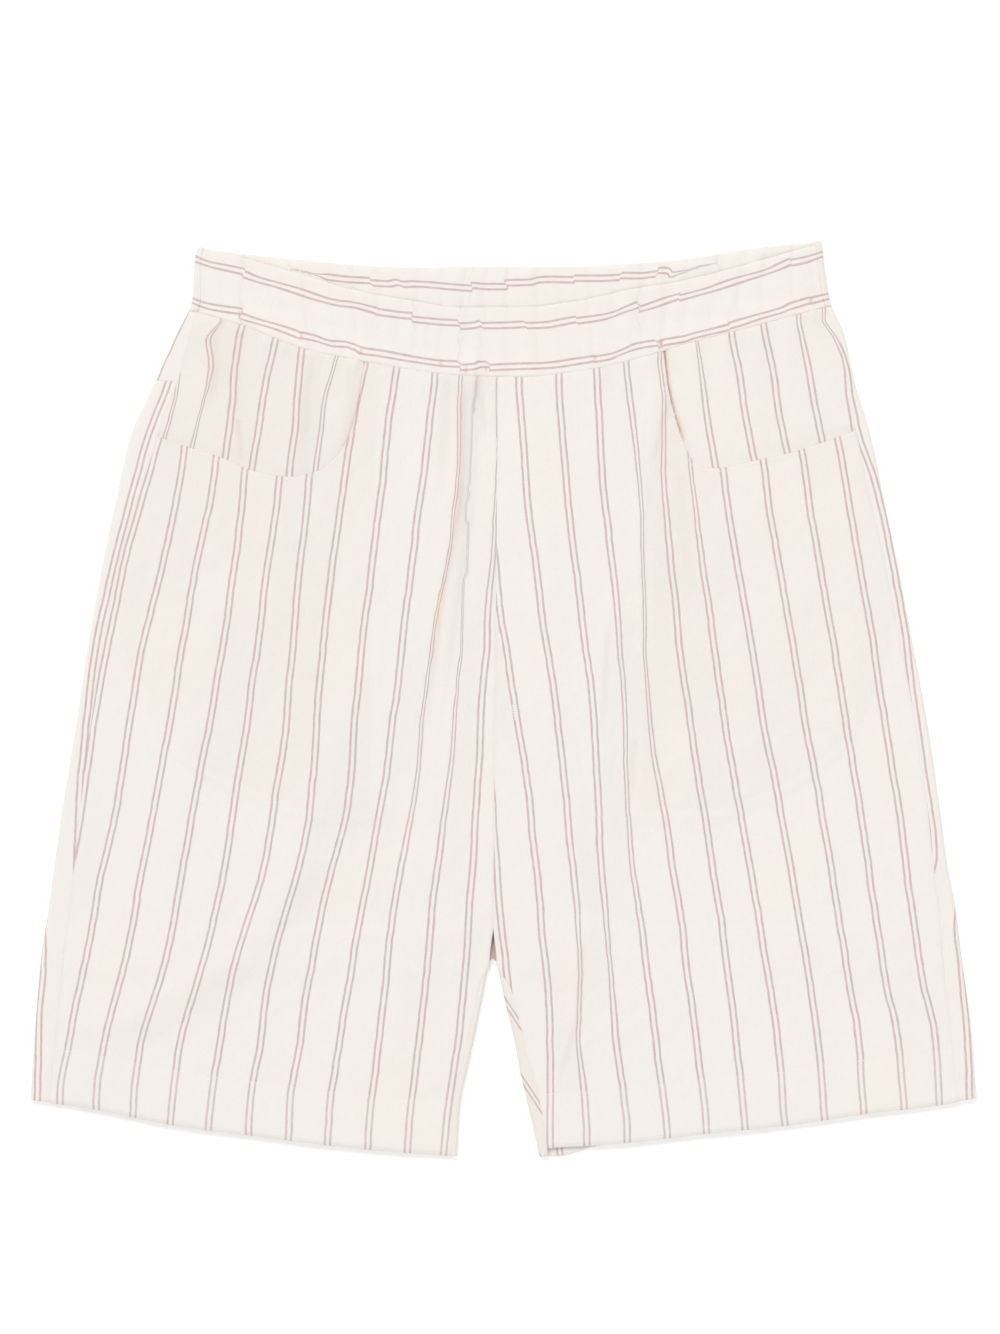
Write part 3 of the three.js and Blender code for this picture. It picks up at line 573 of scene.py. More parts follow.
def bag_lift(leg, x, y):
    """The step that the pocket bag makes in the front that lies on it."""
    inward = leg.out * (x - leg.bag_inner(y))
    above = y - leg.bag_floor(x)
    return BAG_RELIEF * smooth(inward / BAG_BLEND + 1) * smooth(above / BAG_BLEND + 1)


def bag_edge(leg, x, y):
    """1 along the edge of the pocket bag, where the front creases over it, and 0 elsewhere."""
    inward = leg.out * (x - leg.bag_inner(y))
    above = y - leg.bag_floor(x)
    on_floor = bell(above, BAG_CREASE) * smooth((inward + 2) / 6)
    on_inner = bell(inward, BAG_CREASE) * smooth((above + 2) / 6)
    return np.maximum(on_floor, on_inner)


def top_at(leg, x, y):
    """Height of the outside of the top layer above the floor, with its folds and creases."""
    from_side = leg.out * (leg.outline(y) - x)
    below = smooth((CENTRE_CROTCH[1] + DIP_START - y) / DIP_START)
    from_inside = np.maximum(leg.out * (x - leg.inside(y)), 0)
    nearest = np.minimum(from_side, from_inside + SWELL_REACH * (1 - below)) - EDGE_TOP / 2
    inner_dip = below * (1 - smooth((from_inside - turn_radius(y)) / 14))
    dip = (EDGE_TOP - 2 * turn_radius(np.minimum(y, CENTRE_CROTCH[1]))) * inner_dip
    down = waist_seam(x) - y
    ridges = folds_at(x, y, FOLDS) + gathers_at(x, down) + bag_lift(leg, x, y)
    fine = waves(x, y, seed=7, count=26, shortest=17, longest=70, height=0.42, lean=32)
    fine += waves(x, y, seed=11, count=14, shortest=8, longest=15, height=0.08, lean=50)
    fine += waves(y, x, seed=5, count=10, shortest=30, longest=80, height=0.2, lean=25)
    swell = SWELL * smooth(nearest / SWELL_REACH)
    return EDGE_TOP - dip + swell + smooth(nearest / 14) * (ridges + fine)


def stripe_coordinate(levels, stripes, x, y, narrow=None):
    """Millimetres across the cloth at each point, from stripes followed down the photograph.

    Near a stripe it keeps the stripe's true width, and folds take up the rest between two."""
    level_y = px_y(levels)
    centres = np.array([curve(level_y, px_x(row))(y) for row in stripes]) + wobble(x, y)
    half = np.full(centres.shape, GUIDE_HALF)
    for number, shares in (narrow or {}).items():
        half[number] *= curve(level_y, shares)(y)
    knots = np.concatenate([centres - half, centres + half])
    marks = np.arange(len(stripes)) * PITCH
    values = np.concatenate([marks - GUIDE_HALF, marks + GUIDE_HALF])
    order = np.argsort(values)
    knots, values = np.maximum.accumulate(knots[order]), values[order]
    place = np.clip((x[None] > knots).sum(axis=0), 1, len(values) - 1)
    low = np.take_along_axis(knots, place[None] - 1, 0)[0]
    high = np.take_along_axis(knots, place[None], 0)[0]
    share = (x - low) / np.maximum(high - low, 0.1)
    inside = mix(values[place - 1], values[place], share)
    before = values[0] + (x - knots[0])
    after = values[-1] + (x - knots[-1])
    return np.where(x < knots[0], before, np.where(x > knots[-1], after, inside))


def wobble(x, y):
    """How far a stripe strays from its line, as small pulls in the cloth move it."""
    slow = waves(y, x, seed=61, count=14, shortest=14, longest=60, height=0.38, lean=30)
    return slow + waves(y, x, seed=62, count=10, shortest=6, longest=13, height=0.09, lean=30)


def seam_dip(distance, depth, width=0.9):
    """How far the cloth dips into a seam, or how dark it looks, at a distance from the seam."""
    return depth * bell(distance, width)


# How much the hem stands out, how deep the groove and the pulls of its stitching are, and how far
# the pressed fold at its lower edge rounds down, and over what width.
HEM_STEP = 0.06
HEM_GROOVE = 0.06
HEM_PULL = 0.03
HEM_DROP = 0.8
HEM_ROUND = 1.6


def hem_relief(above, along):
    """The hem's own form: a stitched groove at its top, fine pulls along it, and a rounded edge."""
    dice = np.random.RandomState(3)
    pull = 0
    for _ in range(6):
        strength, length, phase = dice.uniform(0.3, 1), dice.uniform(1.1, 3.2), dice.uniform(0, 6)
        pull = pull + strength * np.sin(along / length + phase)
    from_stitches = above - HEM_DEPTH
    step = HEM_STEP * smooth((0.8 - from_stitches) / 1.6)
    groove = HEM_GROOVE * bell(from_stitches, 0.9)
    rounded = HEM_DROP * smooth(1 - above / HEM_ROUND)
    return step - groove + HEM_PULL * pull * bell(from_stitches, 5) - rounded


# How finely the pieces are divided, in millimetres between points, and the hem's own rows, as
# heights above its edge.
FRONT_STEP = 1.55
BACK_STEP = 2.6
HIP_STEP = 0.85
BAND_STEP = 0.62
HEM_ROWS = (33, 31.5, 30.4, 29.7, 29, 28.3, 27.5, 26, 24, 21, 18, 15, 12, 9, 6, 4, 2.5, 1.2, 0.4, 0)


def rows_down(top_y, hem_y, step):
    """Heights down each column: even shares from its top edge, then the hem's own rows."""
    count = int(np.max(top_y - hem_y - HEM_ROWS[0]) / step)
    shares = np.linspace(0, 1, count + 1)[:-1, None]
    upper = mix(top_y[None], hem_y[None] + HEM_ROWS[0], shares)
    lower = hem_y[None] + np.array(HEM_ROWS)[:, None]
    return np.concatenate([upper, lower])


def settle(edge, start, outer, inner, share):
    """Where columns at a share of the width meet an edge that slopes, from a first guess."""
    y = np.full(np.shape(share), float(start))
    for _ in range(40):
        y = mix(y, edge(mix(outer(y), inner(y), share)), 0.6)
    return y


class Sheet:
    """Grids of points outside and inside a piece of cloth, with what the material reads there:
    millimetres across and along the cloth, and painted shade, + where shade is painted in and - where a
    highlight is painted."""

    def __init__(self):
        self.points, self.faces, self.cloth = [], [], []
        self.count = 0

    def add(self, outer, inner, across, along, painted_shade, bulge=(0.5, 0.5, 0.5, 0.5)):
        """One closed shell. `bulge` rounds the first row, last row, first and last column."""
        rows, columns = outer.shape[:2]
        number = np.arange(rows * columns).reshape(rows, columns)
        fabric = np.stack([across, along, painted_shade], axis=-1).reshape(-1, 3)
        corners = [number[:-1, :-1], number[:-1, 1:], number[1:, 1:], number[1:, :-1]]
        grid_faces = np.stack(corners, -1).reshape(-1, 4)
        half = rows * columns
        points = [outer.reshape(-1, 3), inner.reshape(-1, 3)]
        faces = [grid_faces, grid_faces[:, ::-1] + half]
        fabrics = [fabric, fabric]
        middle = (outer + inner) / 2
        edges = [number[0, :-1], number[:-1, -1], number[-1, :0:-1], number[:0:-1, 0]]
        loop = np.concatenate(edges)
        first_row, last_row, first_column, last_column = bulge
        round_loop = (first_row, last_column, last_row, first_column)
        amount = np.concatenate([np.full(len(e), b) for e, b in zip(edges, round_loop)])
        outward = self._outward(middle).reshape(-1, 3)[loop]
        centre = middle.reshape(-1, 3)[loop]
        arm = (outer.reshape(-1, 3) - inner.reshape(-1, 3))[loop] / 2
        reach = np.linalg.norm(arm, axis=1) * amount
        rings = [loop]
        next_number = 2 * half
        for angle in np.radians((40, 90, 140)):
            ring = centre + arm * math.cos(angle) + outward * (reach * math.sin(angle))[:, None]
            points.append(ring)
            fabrics.append(fabric[loop])
            rings.append(np.arange(len(loop)) + next_number)
            next_number += len(loop)
        rings.append(loop + half)
        for a, b in zip(rings[:-1], rings[1:]):
            faces.append(np.stack([np.roll(a, -1), a, b, np.roll(b, -1)], -1))
        points, faces = np.concatenate(points), np.concatenate(faces)
        if signed_volume(points, faces) < 0:
            faces = faces[:, ::-1]
        self.points.append(points)
        self.faces.append(faces + self.count)
        self.cloth.append(np.concatenate(fabrics))
        self.count += len(points)

    @staticmethod
    def _outward(middle):
        """Unit directions that lead off the grid at its border points."""
        lead = np.zeros(middle.shape)
        lead[0] += middle[0] - middle[1]
        lead[-1] += middle[-1] - middle[-2]
        lead[:, 0] += middle[:, 0] - middle[:, 1]
        lead[:, -1] += middle[:, -1] - middle[:, -2]
        return lead / np.maximum(np.linalg.norm(lead, axis=-1, keepdims=True), 1e-6)

    def make(self, name, material):
        faces = np.concatenate(self.faces).tolist()
        thing = new_thing(name, np.concatenate(self.points), faces, material)
        attribute = thing.data.attributes.new("cloth", "FLOAT_VECTOR", "POINT")
        attribute.data.foreach_set("vector", np.concatenate(self.cloth).astype(np.float32).ravel())
        return thing


def new_thing(name, points, faces, material):
    """An object in the scene with smooth faces, from points in millimetres."""
    mesh = bpy.data.meshes.new(name)
    mesh.from_pydata((np.array(points, float) * MM).tolist(), [], faces)
    mesh.polygons.foreach_set("use_smooth", [True] * len(mesh.polygons))
    mesh.materials.append(material)
    mesh.update()
    thing = bpy.data.objects.new(name, mesh)
    bpy.context.scene.collection.objects.link(thing)
    return thing


def signed_volume(points, faces):
    """Six times the volume inside a closed shell of four-cornered faces, + if they face out."""
    a, b, c, d = (points[faces[:, k]] for k in range(4))
    return float(np.sum(a * (np.cross(b, c) + np.cross(c, d))))


def stack(x, y, z):
    return np.stack(np.broadcast_arrays(x, y, z), axis=-1).astype(float)


def front_columns(leg, outer, inner):
    """Columns of a front, evenly spaced along the scoop and the waistband: share and top height."""
    from_x = leg.corner[0] - leg.out * SEAM_GAP / 2
    to_x = CENTRE_WAIST[0] + leg.out * SEAM_GAP / 2
    x = np.linspace(from_x, to_x, 3000)
    y = leg.front_top(x)
    run = np.concatenate([[0], np.cumsum(np.hypot(np.diff(x), np.diff(y)))])
    spots = np.linspace(0, run[-1], int(run[-1] / FRONT_STEP) + 1)
    top_x = np.interp(spots, run, x)
    top_y = leg.front_top(top_x)
    share = (top_x - outer(top_y)) / (inner(top_y) - outer(top_y))
    share[0], share[-1] = 0, 1
    top_y[0] = leg.corner[1]
    return share, top_y


# Depth and width of the dips at the waist seam, at a leg's long seams and along the scoop's
# stitches, how far the fronts rise where they part, how much painted shade goes in the waist and
# side seam dips and over the pocket bag, and the painted highlight on the hem, as a minus.
WAIST_DIP = (0.2, 1.2)
SIDE_DIP = 0.08
SCOOP_GROOVE = (0.1, 0.6)
SCOOP_GROOVE_AT = 2.2
PART_RISE = 0.35
WAIST_PAINTED_SHADE = 0.16
SIDE_PAINTED_SHADE = (0.03, 0.7)
BAG_PAINTED_SHADE = 0.07
HEM_PAINTED_HIGHLIGHT = -0.14
FAR = 1000.0


def scoop_points(leg):
    return list(zip(*SCOOPS[leg.side].values()))


def tuck_step(down):
    """How far a leg piece steps down where it goes on under the waistband."""
    return TUCK_STEP * smooth((0.5 - down) / 0.9)


def front_panel(leg):
    """One front, from the scoop and the waist seam down to the hem, side seam to centre seam."""
    inner = leg.front_inner

    def outer(y):
        return leg.side_seam(y) - leg.out * SEAM_GAP / 2

    share, top_y = front_columns(leg, outer, inner)
    hem_x = mix(outer(leg.hem_front(outer(HEM_SIDE_Y))), inner(HEM_INNER_Y), share)
    hem_y = leg.hem_front(hem_x)
    y = rows_down(top_y, hem_y, FRONT_STEP)
    x = mix(outer(y), inner(y), share[None])
    above_hem = y - hem_y[None]
    across = stripe_coordinate(FRONT_LEVELS, FRONT_STRIPES[leg.side], x, y, NARROW[leg.side])
    down = waist_seam(x) - y
    from_scoop = np.abs(near_line(scoop_points(leg), x, y)[0])
    inside_mouth = leg.out * (leg.mouth_x - x)
    from_waist = np.where(inside_mouth < 0, FAR, down)
    from_seams = np.minimum(np.abs(x - outer(y)), np.abs(x - inner(y)))
    puckers = puckers_at(across, np.maximum(down, 0), seed=21) * smooth(from_seams / 8)
    z = top_at(leg, x, y) + hem_relief(above_hem, x) + puckers * (inside_mouth > 0)
    z -= seam_dip(from_seams, SIDE_DIP) + seam_dip(from_waist, *WAIST_DIP)
    z -= seam_dip(from_scoop - SCOOP_GROOVE_AT, *SCOOP_GROOVE) + BAG_CREASE_DEPTH * bag_edge(leg, x, y)
    parted = (1 - smooth((CENTRE_CROTCH[1] - y) / 14)) * smooth((FRONTS_PART_Y - y) / 8)
    z += PART_RISE * parted - tuck_step(down)
    thick = np.where(above_hem < HEM_DEPTH, DOUBLE, np.where(from_scoop < 2, SCOOP_EDGE, CLOTH))
    inward = leg.out * (x - leg.bag_inner(y))
    over_bag = smooth(inward / 3) * smooth((y - leg.bag_floor(x)) / 3)
    # Painted shade in folds, seam dips and over the pocket bag, and a painted highlight on the hem.
    painted_shade = fold_shade(x, y) + seam_dip(from_waist, WAIST_PAINTED_SHADE) + seam_dip(from_seams, *SIDE_PAINTED_SHADE)
    painted_shade += BAG_PAINTED_SHADE * over_bag + HEM_PAINTED_HIGHLIGHT * smooth((HEM_DEPTH + 1 - above_hem) / 2)
    sheet = Sheet()
    sheet.add(stack(x, y, z), stack(x, y, z - thick), across, y, painted_shade, bulge=(0.5, 0.8, 0.5, 0.5))
    return sheet


# Painted shade along folds, creases and tucks, where little light reaches them: strength, with a
# minus where a highlight is painted instead, width, and the line it follows, in pixels of the
# photograph.
PAINTED_SHADE_LINES = [
    (0.55, 1.6, [(462, 378), (462, 424), (459, 508), (443, 592), (433, 662), (424, 757)]),
    (0.3, 1.4, [(481, 374), (477, 390), (474, 412)]),
    (-0.5, 1.5, [(473, 404), (471, 440), (469, 508), (466, 592), (462, 650)]),
    (0.35, 1.2, [(482, 388), (484, 430), (491, 441)]),
    (0.3, 1.2, [(671, 398), (660, 430), (650, 472)]),
    (0.1, 1.6, [(650, 472), (644, 556), (645, 620), (650, 740)]),
    (0.14, 3.0, [(679, 470), (684, 540), (690, 600)]),
    (0.3, 1.4, [(608, 620), (602, 740)]),
    (0.3, 1.4, [(635, 736), (629, 810)]),
    (0.3, 1.5, [(582, 940), (580, 1000), (576, 1024), (560, 1076), (548, 1092)]),
    (0.3, 3.0, [(215, 325), (214, 372), (206, 420)]),
    (0.25, 3.0, [(238, 328), (238, 380), (232, 440)]),
    (0.2, 3.0, [(310, 350), (306, 410), (300, 470)]),
    (0.2, 3.0, [(349, 362), (352, 420), (346, 470)]),
    (0.2, 3.0, [(447, 374), (444, 430), (438, 500)]),
    (0.35, 1.6, [(238, 418), (240, 445), (243, 464)]),
    (0.06, 5.0, [(66, 1046), (104, 1033), (145, 1018), (188, 990), (229, 969), (300, 880)]),
]


# How much painted shade and how much depth the slit gets where the scoop's steep inner edge stands
# off the hip piece, how much painted shade the hip pieces get all over, since less light comes
# through them, and the painted shadow on a hip piece just under the scoop's edge.
MOUTH_PAINTED_SHADE = {"left": 0.45, "right": 2.0}
MOUTH_DEPTH = {"left": 0.2, "right": 0.7}
HIP_PAINTED_SHADE = {"left": 0.1, "right": 0.045}
SCOOP_PAINTED_SHADOW = 0.06
# Rows of a hip piece above and below the scoop's corner, and how far the bag goes out under the
# side seam.
HIP_ROWS = (78, 50)
BAG_OUT = 1.2
# Puckers are higher on the hip pieces than on the fronts.
HIP_PUCKERS = 1.3


def fold_shade(x, y):
    """How much painted shade the listed fold lines put at each point, and painted highlight where their
    strength is below 0.
    """
    total = np.zeros(np.shape(x))
    for strength, width, line in PAINTED_SHADE_LINES:
        points = [(float(px_x(a)), float(px_y(b))) for a, b in line]
        off, along = near_line(points, x, y)
        fade = smooth(along / 0.08) * smooth((1 - along) / 0.35)
        total += strength * fade * bell(off, width)
    return total


def hip_piece(leg):
    """The hip piece and pocket bag in one: it shows in the scoop, and lies under the front."""

    def seam(y):
        return leg.side_seam(y) - leg.out * SEAM_GAP

    def outer(y):
        return seam(y) - leg.out * BAG_OUT * smooth((leg.corner[1] - 1 - y) / 8)

    inner = leg.bag_inner
    span = abs(float(inner(150)) - float(outer(150)))
    share = np.linspace(0, 1, int(span / HIP_STEP) + 1)
    top_y = settle(lambda x: waist_seam(x) + TUCK, 200, outer, inner, share)
    bottom_y = settle(leg.bag_floor, BAG_FLOORS[leg.side]["y"][0], outer, inner, share)
    split = (top_y - leg.corner[1]) / (top_y - bottom_y)
    shown_rows, hidden_rows = HIP_ROWS
    upper = np.linspace(0, 1, shown_rows + 1)[:, None] * split[None]
    lower = mix(split[None], 1, np.linspace(0, 1, hidden_rows + 1)[1:, None])
    y = mix(top_y[None], bottom_y[None], np.concatenate([upper, lower]))
    x = mix(outer(y), inner(y), share[None])
    in_scoop = y > leg.front_top(x)
    above = np.where(in_scoop, np.abs(near_line(scoop_points(leg), x, y)[0]), 0)
    shown = smooth((above - 0.4) / 5)
    across = stripe_coordinate(HIP_LEVELS, HIP_STRIPES[leg.side], x, y, HIP_NARROW[leg.side])
    down = waist_seam(x) - y
    beside = smooth((y - SCOOPS[leg.side]["y"].min() - 10) / 12)
    slit = beside * smooth(leg.out * (leg.mouth_x - x) + 40) * in_scoop
    z = top_at(leg, x, y) - UNDER_SCOOP * (1 - shown) - tuck_step(down)
    z += HIP_PUCKERS * shown * puckers_at(across, np.maximum(down, 0), seed=33)
    z -= seam_dip(down, *WAIST_DIP) + MOUTH_DEPTH[leg.side] * slit * bell(above, 1.6)
    # Painted shade on the hip piece: all over, at the waist seam, in folds and in the pocket's slit, and a
    # painted shadow under the scoop's edge.
    painted_shade = HIP_PAINTED_SHADE[leg.side] + seam_dip(down, WAIST_PAINTED_SHADE) + fold_shade(x, y)
    painted_shade += MOUTH_PAINTED_SHADE[leg.side] * slit * bell(above, 1.1) + SCOOP_PAINTED_SHADOW * in_scoop * np.exp(-above / 2)
    sheet = Sheet()
    sheet.add(stack(x, y, z), stack(x, y, z - CLOTH), across, y, painted_shade)
    return sheet


# Points round a folded edge, and across the strip from it to the seam on the top side.
TURN_STEPS = 15
STRIP_STEPS = 7


def turned(edge_x, y, out, radius, thick):
    """Points round a folded edge, from the underside up to the top side, outside and inside."""
    angle = np.linspace(0, math.pi, TURN_STEPS)[None]
    middle = (edge_x - out * radius)[:, None]
    across = out * np.sin(angle)
    rise = np.cos(angle)
    r = np.broadcast_to(np.asarray(radius, float), edge_x.shape)[:, None]
    y = np.broadcast_to(y[:, None], (len(y), TURN_STEPS))
    thick = np.asarray(thick, float)
    thick = thick[:, None] if thick.ndim else thick
    outside = stack(middle + r * across, y, r - r * rise)
    inside = stack(middle + (r - thick) * across, y, r - (r - thick) * rise)
    return outside, inside


def hem_thickness(above):
    return np.where(above < HEM_DEPTH, DOUBLE, CLOTH)


def under_relief(x, y):
    """Soft creases of the layer that lies on the floor: it only ever rises from it."""
    creases = waves(x, y, seed=17, count=16, shortest=16, longest=60, height=0.3, lean=35)
    return np.maximum(0, 0.28 + creases)


# Where the waist seam reaches the sides, about, and how high the back's hem stitches stand.
SIDE_SEAM_Y = 208
BACK_HEM_RIDGE = 0.25


def back_panel(leg):
    """Flat on the floor, folded up round the side to the side seam and round the inner leg."""
    radius = EDGE_TOP / 2

    def edge(y):
        return leg.outline(y) - leg.out * radius

    def top_edge(x):
        return back_seam(x) - SEAM_GAP

    width = abs(float(edge(HEM_SIDE_Y)) - float(leg.back_inner(HEM_SIDE_Y)))
    share = np.linspace(0, 1, int(width / BACK_STEP) + 1)
    hem_end = float(leg.hem_back(leg.outline(HEM_SIDE_Y)))
    top_y = settle(top_edge, 200, edge, leg.back_inner, share)
    bottom_y = settle(leg.hem_back, hem_end, edge, leg.back_inner, share)
    flat_y = rows_down(top_y, bottom_y, BACK_STEP)
    side_top = np.array([float(waist_seam(edge(SIDE_SEAM_Y))) - SEAM_GAP])
    side_y = rows_down(side_top, np.array([hem_end]), BACK_STEP)
    rows = min(len(flat_y), len(side_y))
    flat_y, side_y = even_rows(flat_y, rows), even_rows(side_y, rows)[:, 0]
    if leg.side == "left":
        row = int(np.argmin(np.abs(side_y - px_y(PLEAT_PX))))
        side_y[row:row + 2] = px_y(PLEAT_PX) + PLEAT_HALF, px_y(PLEAT_PX) - PLEAT_HALF
    flat_x = mix(edge(flat_y), leg.back_inner(flat_y), share[None])
    above_flat = flat_y - bottom_y[None]
    above_side = side_y - hem_end
    ridge = BACK_HEM_RIDGE * bell(above_flat - HEM_DEPTH, 0.9)
    near_ends = smooth(share / 0.05)[None] * smooth((1 - share) / 0.05)[None]
    wave = (under_relief(flat_x, flat_y) + ridge) * near_ends
    flat_out = stack(flat_x, flat_y, wave)
    flat_in = stack(flat_x, flat_y, wave + hem_thickness(above_flat))
    side_thick = hem_thickness(above_side)
    round_out, round_in = turned(leg.outline(side_y), side_y, leg.out, radius, side_thick)
    seam = leg.side_seam(side_y) + leg.out * SEAM_GAP / 2
    strip_out, strip_in = strip_to(leg, edge(side_y), seam, side_y, side_thick, above_side)
    outside = np.concatenate([strip_out[:, ::-1], round_out[:, :0:-1], flat_out], axis=1)
    inside = np.concatenate([strip_in[:, ::-1], round_in[:, :0:-1], flat_in], axis=1)
    across = wrap_across(leg, outside, flat_x, flat_y)
    painted_shade = np.zeros(across.shape)
    # Painted shade in the crotch gap.
    painted_shade[:, -len(share):] = crotch_shade(flat_x, flat_y)
    sheet = Sheet()
    sheet.add(outside, inside, across, outside[..., 1], painted_shade)
    inner_fold(leg, sheet)
    return sheet


def even_rows(grid, rows):
    """The same columns with another number of rows, the hem's rows kept as they are."""
    hem = len(HEM_ROWS)
    upper = grid[:-hem]
    place = np.linspace(0, len(upper) - 1, rows - hem)
    low = np.floor(place).astype(int)
    high = np.minimum(low + 1, len(upper) - 1)
    return np.concatenate([mix(upper[low], upper[high], (place - low)[:, None]), grid[-hem:]])


def strip_to(leg, from_x, to_x, y, thick, above_hem):
    """The strip on the top side from the end of the turn to the seam."""
    t = np.linspace(0, 1, STRIP_STEPS + 1)[None, 1:]
    from_x, to_x, y, thick, above = (a[:, None] for a in (from_x, to_x, y, thick, above_hem))
    x = mix(from_x, to_x, t)
    y = y + (leg.hem_front(x) - leg.hem_front(from_x)) * (1 - smooth(above / 30))
    z = top_at(leg, x, y) + hem_relief(above, x) * t
    z = z - seam_dip(np.abs(x - to_x), 0.06) * smooth(t / 0.3)
    return stack(x, y, z), stack(x, y, z - thick)


def wrap_across(leg, outside, flat_x, flat_y):
    """Millimetres across the cloth of a back panel, kept in step round the folded side."""
    top_x, top_y = outside[:, :STRIP_STEPS, 0], outside[:, :STRIP_STEPS, 1]
    levels, stripes = WRAP_LEVELS[leg.side], WRAP_STRIPES[leg.side]
    on_top = stripe_coordinate(levels, stripes, top_x, top_y, WRAP_NARROW[leg.side])
    steps = np.linalg.norm(np.diff(outside, axis=1), axis=2)
    run = np.concatenate([np.zeros((len(outside), 1)), np.cumsum(steps, axis=1)], axis=1)
    last = STRIP_STEPS - 1
    by_run = on_top[:, last:last + 1] + leg.out * (run - run[:, last:last + 1])
    flat = stripe_coordinate(FRONT_LEVELS, FRONT_STRIPES[leg.side], flat_x, flat_y)
    # The cloth turns over at the side, so that across runs on outwards while x comes back.
    flat_start = outside.shape[1] - flat_x.shape[1]
    first = by_run[:, flat_start:flat_start + 1]
    under = first - (flat - flat[:, :1])
    return np.concatenate([on_top, by_run[:, last + 1:flat_start], under], axis=1)


# How much painted shade falls in the gap between the fronts at the crotch.
CROTCH_PAINTED_SHADE = 1.35


def crotch_shade(x, y):
    """Painted shade on the back's inside above the crotch, in the gap between the fronts."""
    gap = bell(x - CENTRE_CROTCH[0], 5) * smooth((FRONTS_PART_Y + 4 - y) / 10)
    return CROTCH_PAINTED_SHADE * gap * smooth((y - CENTRE_CROTCH[1] + 14) / 12)


# Stripes on the strip of the right back that shows at the inner leg: a point on one, in pixels,
# the direction they run, and their spacing seen from above.
INNER_STRIPE_AT = (513.5, 1014.5)
INNER_STRIPE_RUN = (12.5, 19.0)
INNER_STRIPE_PITCH = 28.5
# How much painted shade the turned strips at the inner legs get, and how far below the crotch they start.
INNER_PAINTED_SHADE = 0.12
INNER_START = 3


def inner_fold(leg, sheet):
    """The back panel's fold round the inner leg, from just below the crotch to the hem."""
    start = CENTRE_CROTCH[1] - INNER_START
    end = float(leg.hem_back(leg.inside(HEM_INNER_Y)))
    y = rows_down(np.array([start]), np.array([end]), BACK_STEP)[:, 0]
    above = y - end
    radius = turn_radius(y)
    thick = np.minimum(hem_thickness(above), radius - 0.2)
    edge = leg.inside(y)
    middle = edge + leg.out * radius
    seam = leg.inseam(y) - leg.out * SEAM_GAP / 2
    round_out, round_in = turned(edge, y, -leg.out, radius, thick)
    strip_out, strip_in = strip_to(leg, middle, seam, y, thick, above)
    outside = np.concatenate([round_out, strip_out], axis=1)
    inside = np.concatenate([round_in, strip_in], axis=1)
    painted_shade = np.full(outside.shape[:2], INNER_PAINTED_SHADE)
    if leg.side == "left":
        across = np.full(painted_shade.shape, PITCH / 2)
    else:
        px = to_px(outside[..., 0]) - INNER_STRIPE_AT[0]
        py = ORIGIN_PX[1] - outside[..., 1] / PIXEL - INNER_STRIPE_AT[1]
        run_x, run_y = INNER_STRIPE_RUN
        off = (px * run_y - py * run_x) / math.hypot(run_x, run_y)
        across = off / INNER_STRIPE_PITCH * PITCH
    sheet.add(outside, inside, across, outside[..., 1], painted_shade)


# How wide the waistband's pinches are in pixels, how deep in millimetres and how much painted shade
# they get, how much painted shade its turned ends get, how much its knots pull it in, how far each
# half's middle rises over its edges, and how far the front half's edge lies below BAND_TOP, twice that
# at its very top.
PINCH_WIDTH = 4.2
PINCH_DEPTH = 0.7
PINCH_PAINTED_SHADE = 0.14
BAND_END_PAINTED_SHADE = 0.1
KNOT_DEPTH = 0.35
FRONT_CROWN = 0.55
BACK_CROWN = 0.3
FRONT_EDGE_DIP = 0.35
FRONT_BAND_WIDTH = 350
BACK_BAND_WIDTH = 335


def pinches_at(px, sharp=1.0):
    """How deep the elastic pinches the waistband at a pixel across it."""
    total = np.zeros(np.shape(px))
    for at, depth in zip(*PINCHES.values()):
        total += depth * np.exp(-np.abs((px - at) / (PINCH_WIDTH * sharp)) ** 1.5)
    return total


def knots_at(x, y):
    """How deep the waistband is pulled in at its knots, and how much painted shade they get."""
    total = np.zeros(np.shape(x))
    for across, down, shade in zip(*KNOTS.values()):
        total += shade * bell(x - px_x(across), 0.8) * bell(y - px_y(down), 1.7)
    return total


def pair_line(runs, px):
    """Pixels down of a stripe pair at a pixel across it."""
    down = np.zeros(np.shape(px))
    for number, run in enumerate(runs):
        at, value = np.array(run, float).T
        reached = px >= at[0] if number else np.full(np.shape(px), True)
        down = np.where(reached, curve(at, value)(px), down)
    return down


def band_across(x, y, upper, lower, narrow=None):
    """Millimetres across the cloth of a waistband, whose stripes run along it."""
    px = to_px(x) + 1.6 * np.sin(y / 1.7)
    top = px_y(pair_line(upper, px))
    low = px_y(pair_line(lower, px))
    share = (top - y) / (top - low)
    across = np.where(share < 0, top - y, np.where(share > 1, PITCH + low - y, share * PITCH))
    if narrow is None:
        return across
    shown = through(narrow, "x", "share")(px)
    near, far = across / shown, across + np.sign(across) * GUIDE_HALF * (1 - shown)
    return np.where(np.abs(across) < GUIDE_HALF * shown, near, far)


def band_relief(x, t, seed):
    """Height that the gathers add to a waistband at t, from 0 at its top to 1 at its seam."""
    bend = gather_bend(x, t)
    rolls = waves(x + bend, t * 20, seed, count=14, shortest=7, longest=19, height=0.24, lean=14)
    middle = smooth(t / 0.16) * smooth((1 - t) / 0.12)
    return (rolls - PINCH_DEPTH * pinches_at(to_px(x) + bend)) * mix(0.55, 1, middle)


def gather_bend(x, t):
    """How far the gathers stray sideways on their way down the waistband."""
    return 3 * np.sin(t * 3 + x / 23)


# Painted shade in the waistband's pinches.
def pinch_tone(x, t):
    return PINCH_PAINTED_SHADE * pinches_at(to_px(x) + gather_bend(x, t), 0.6)


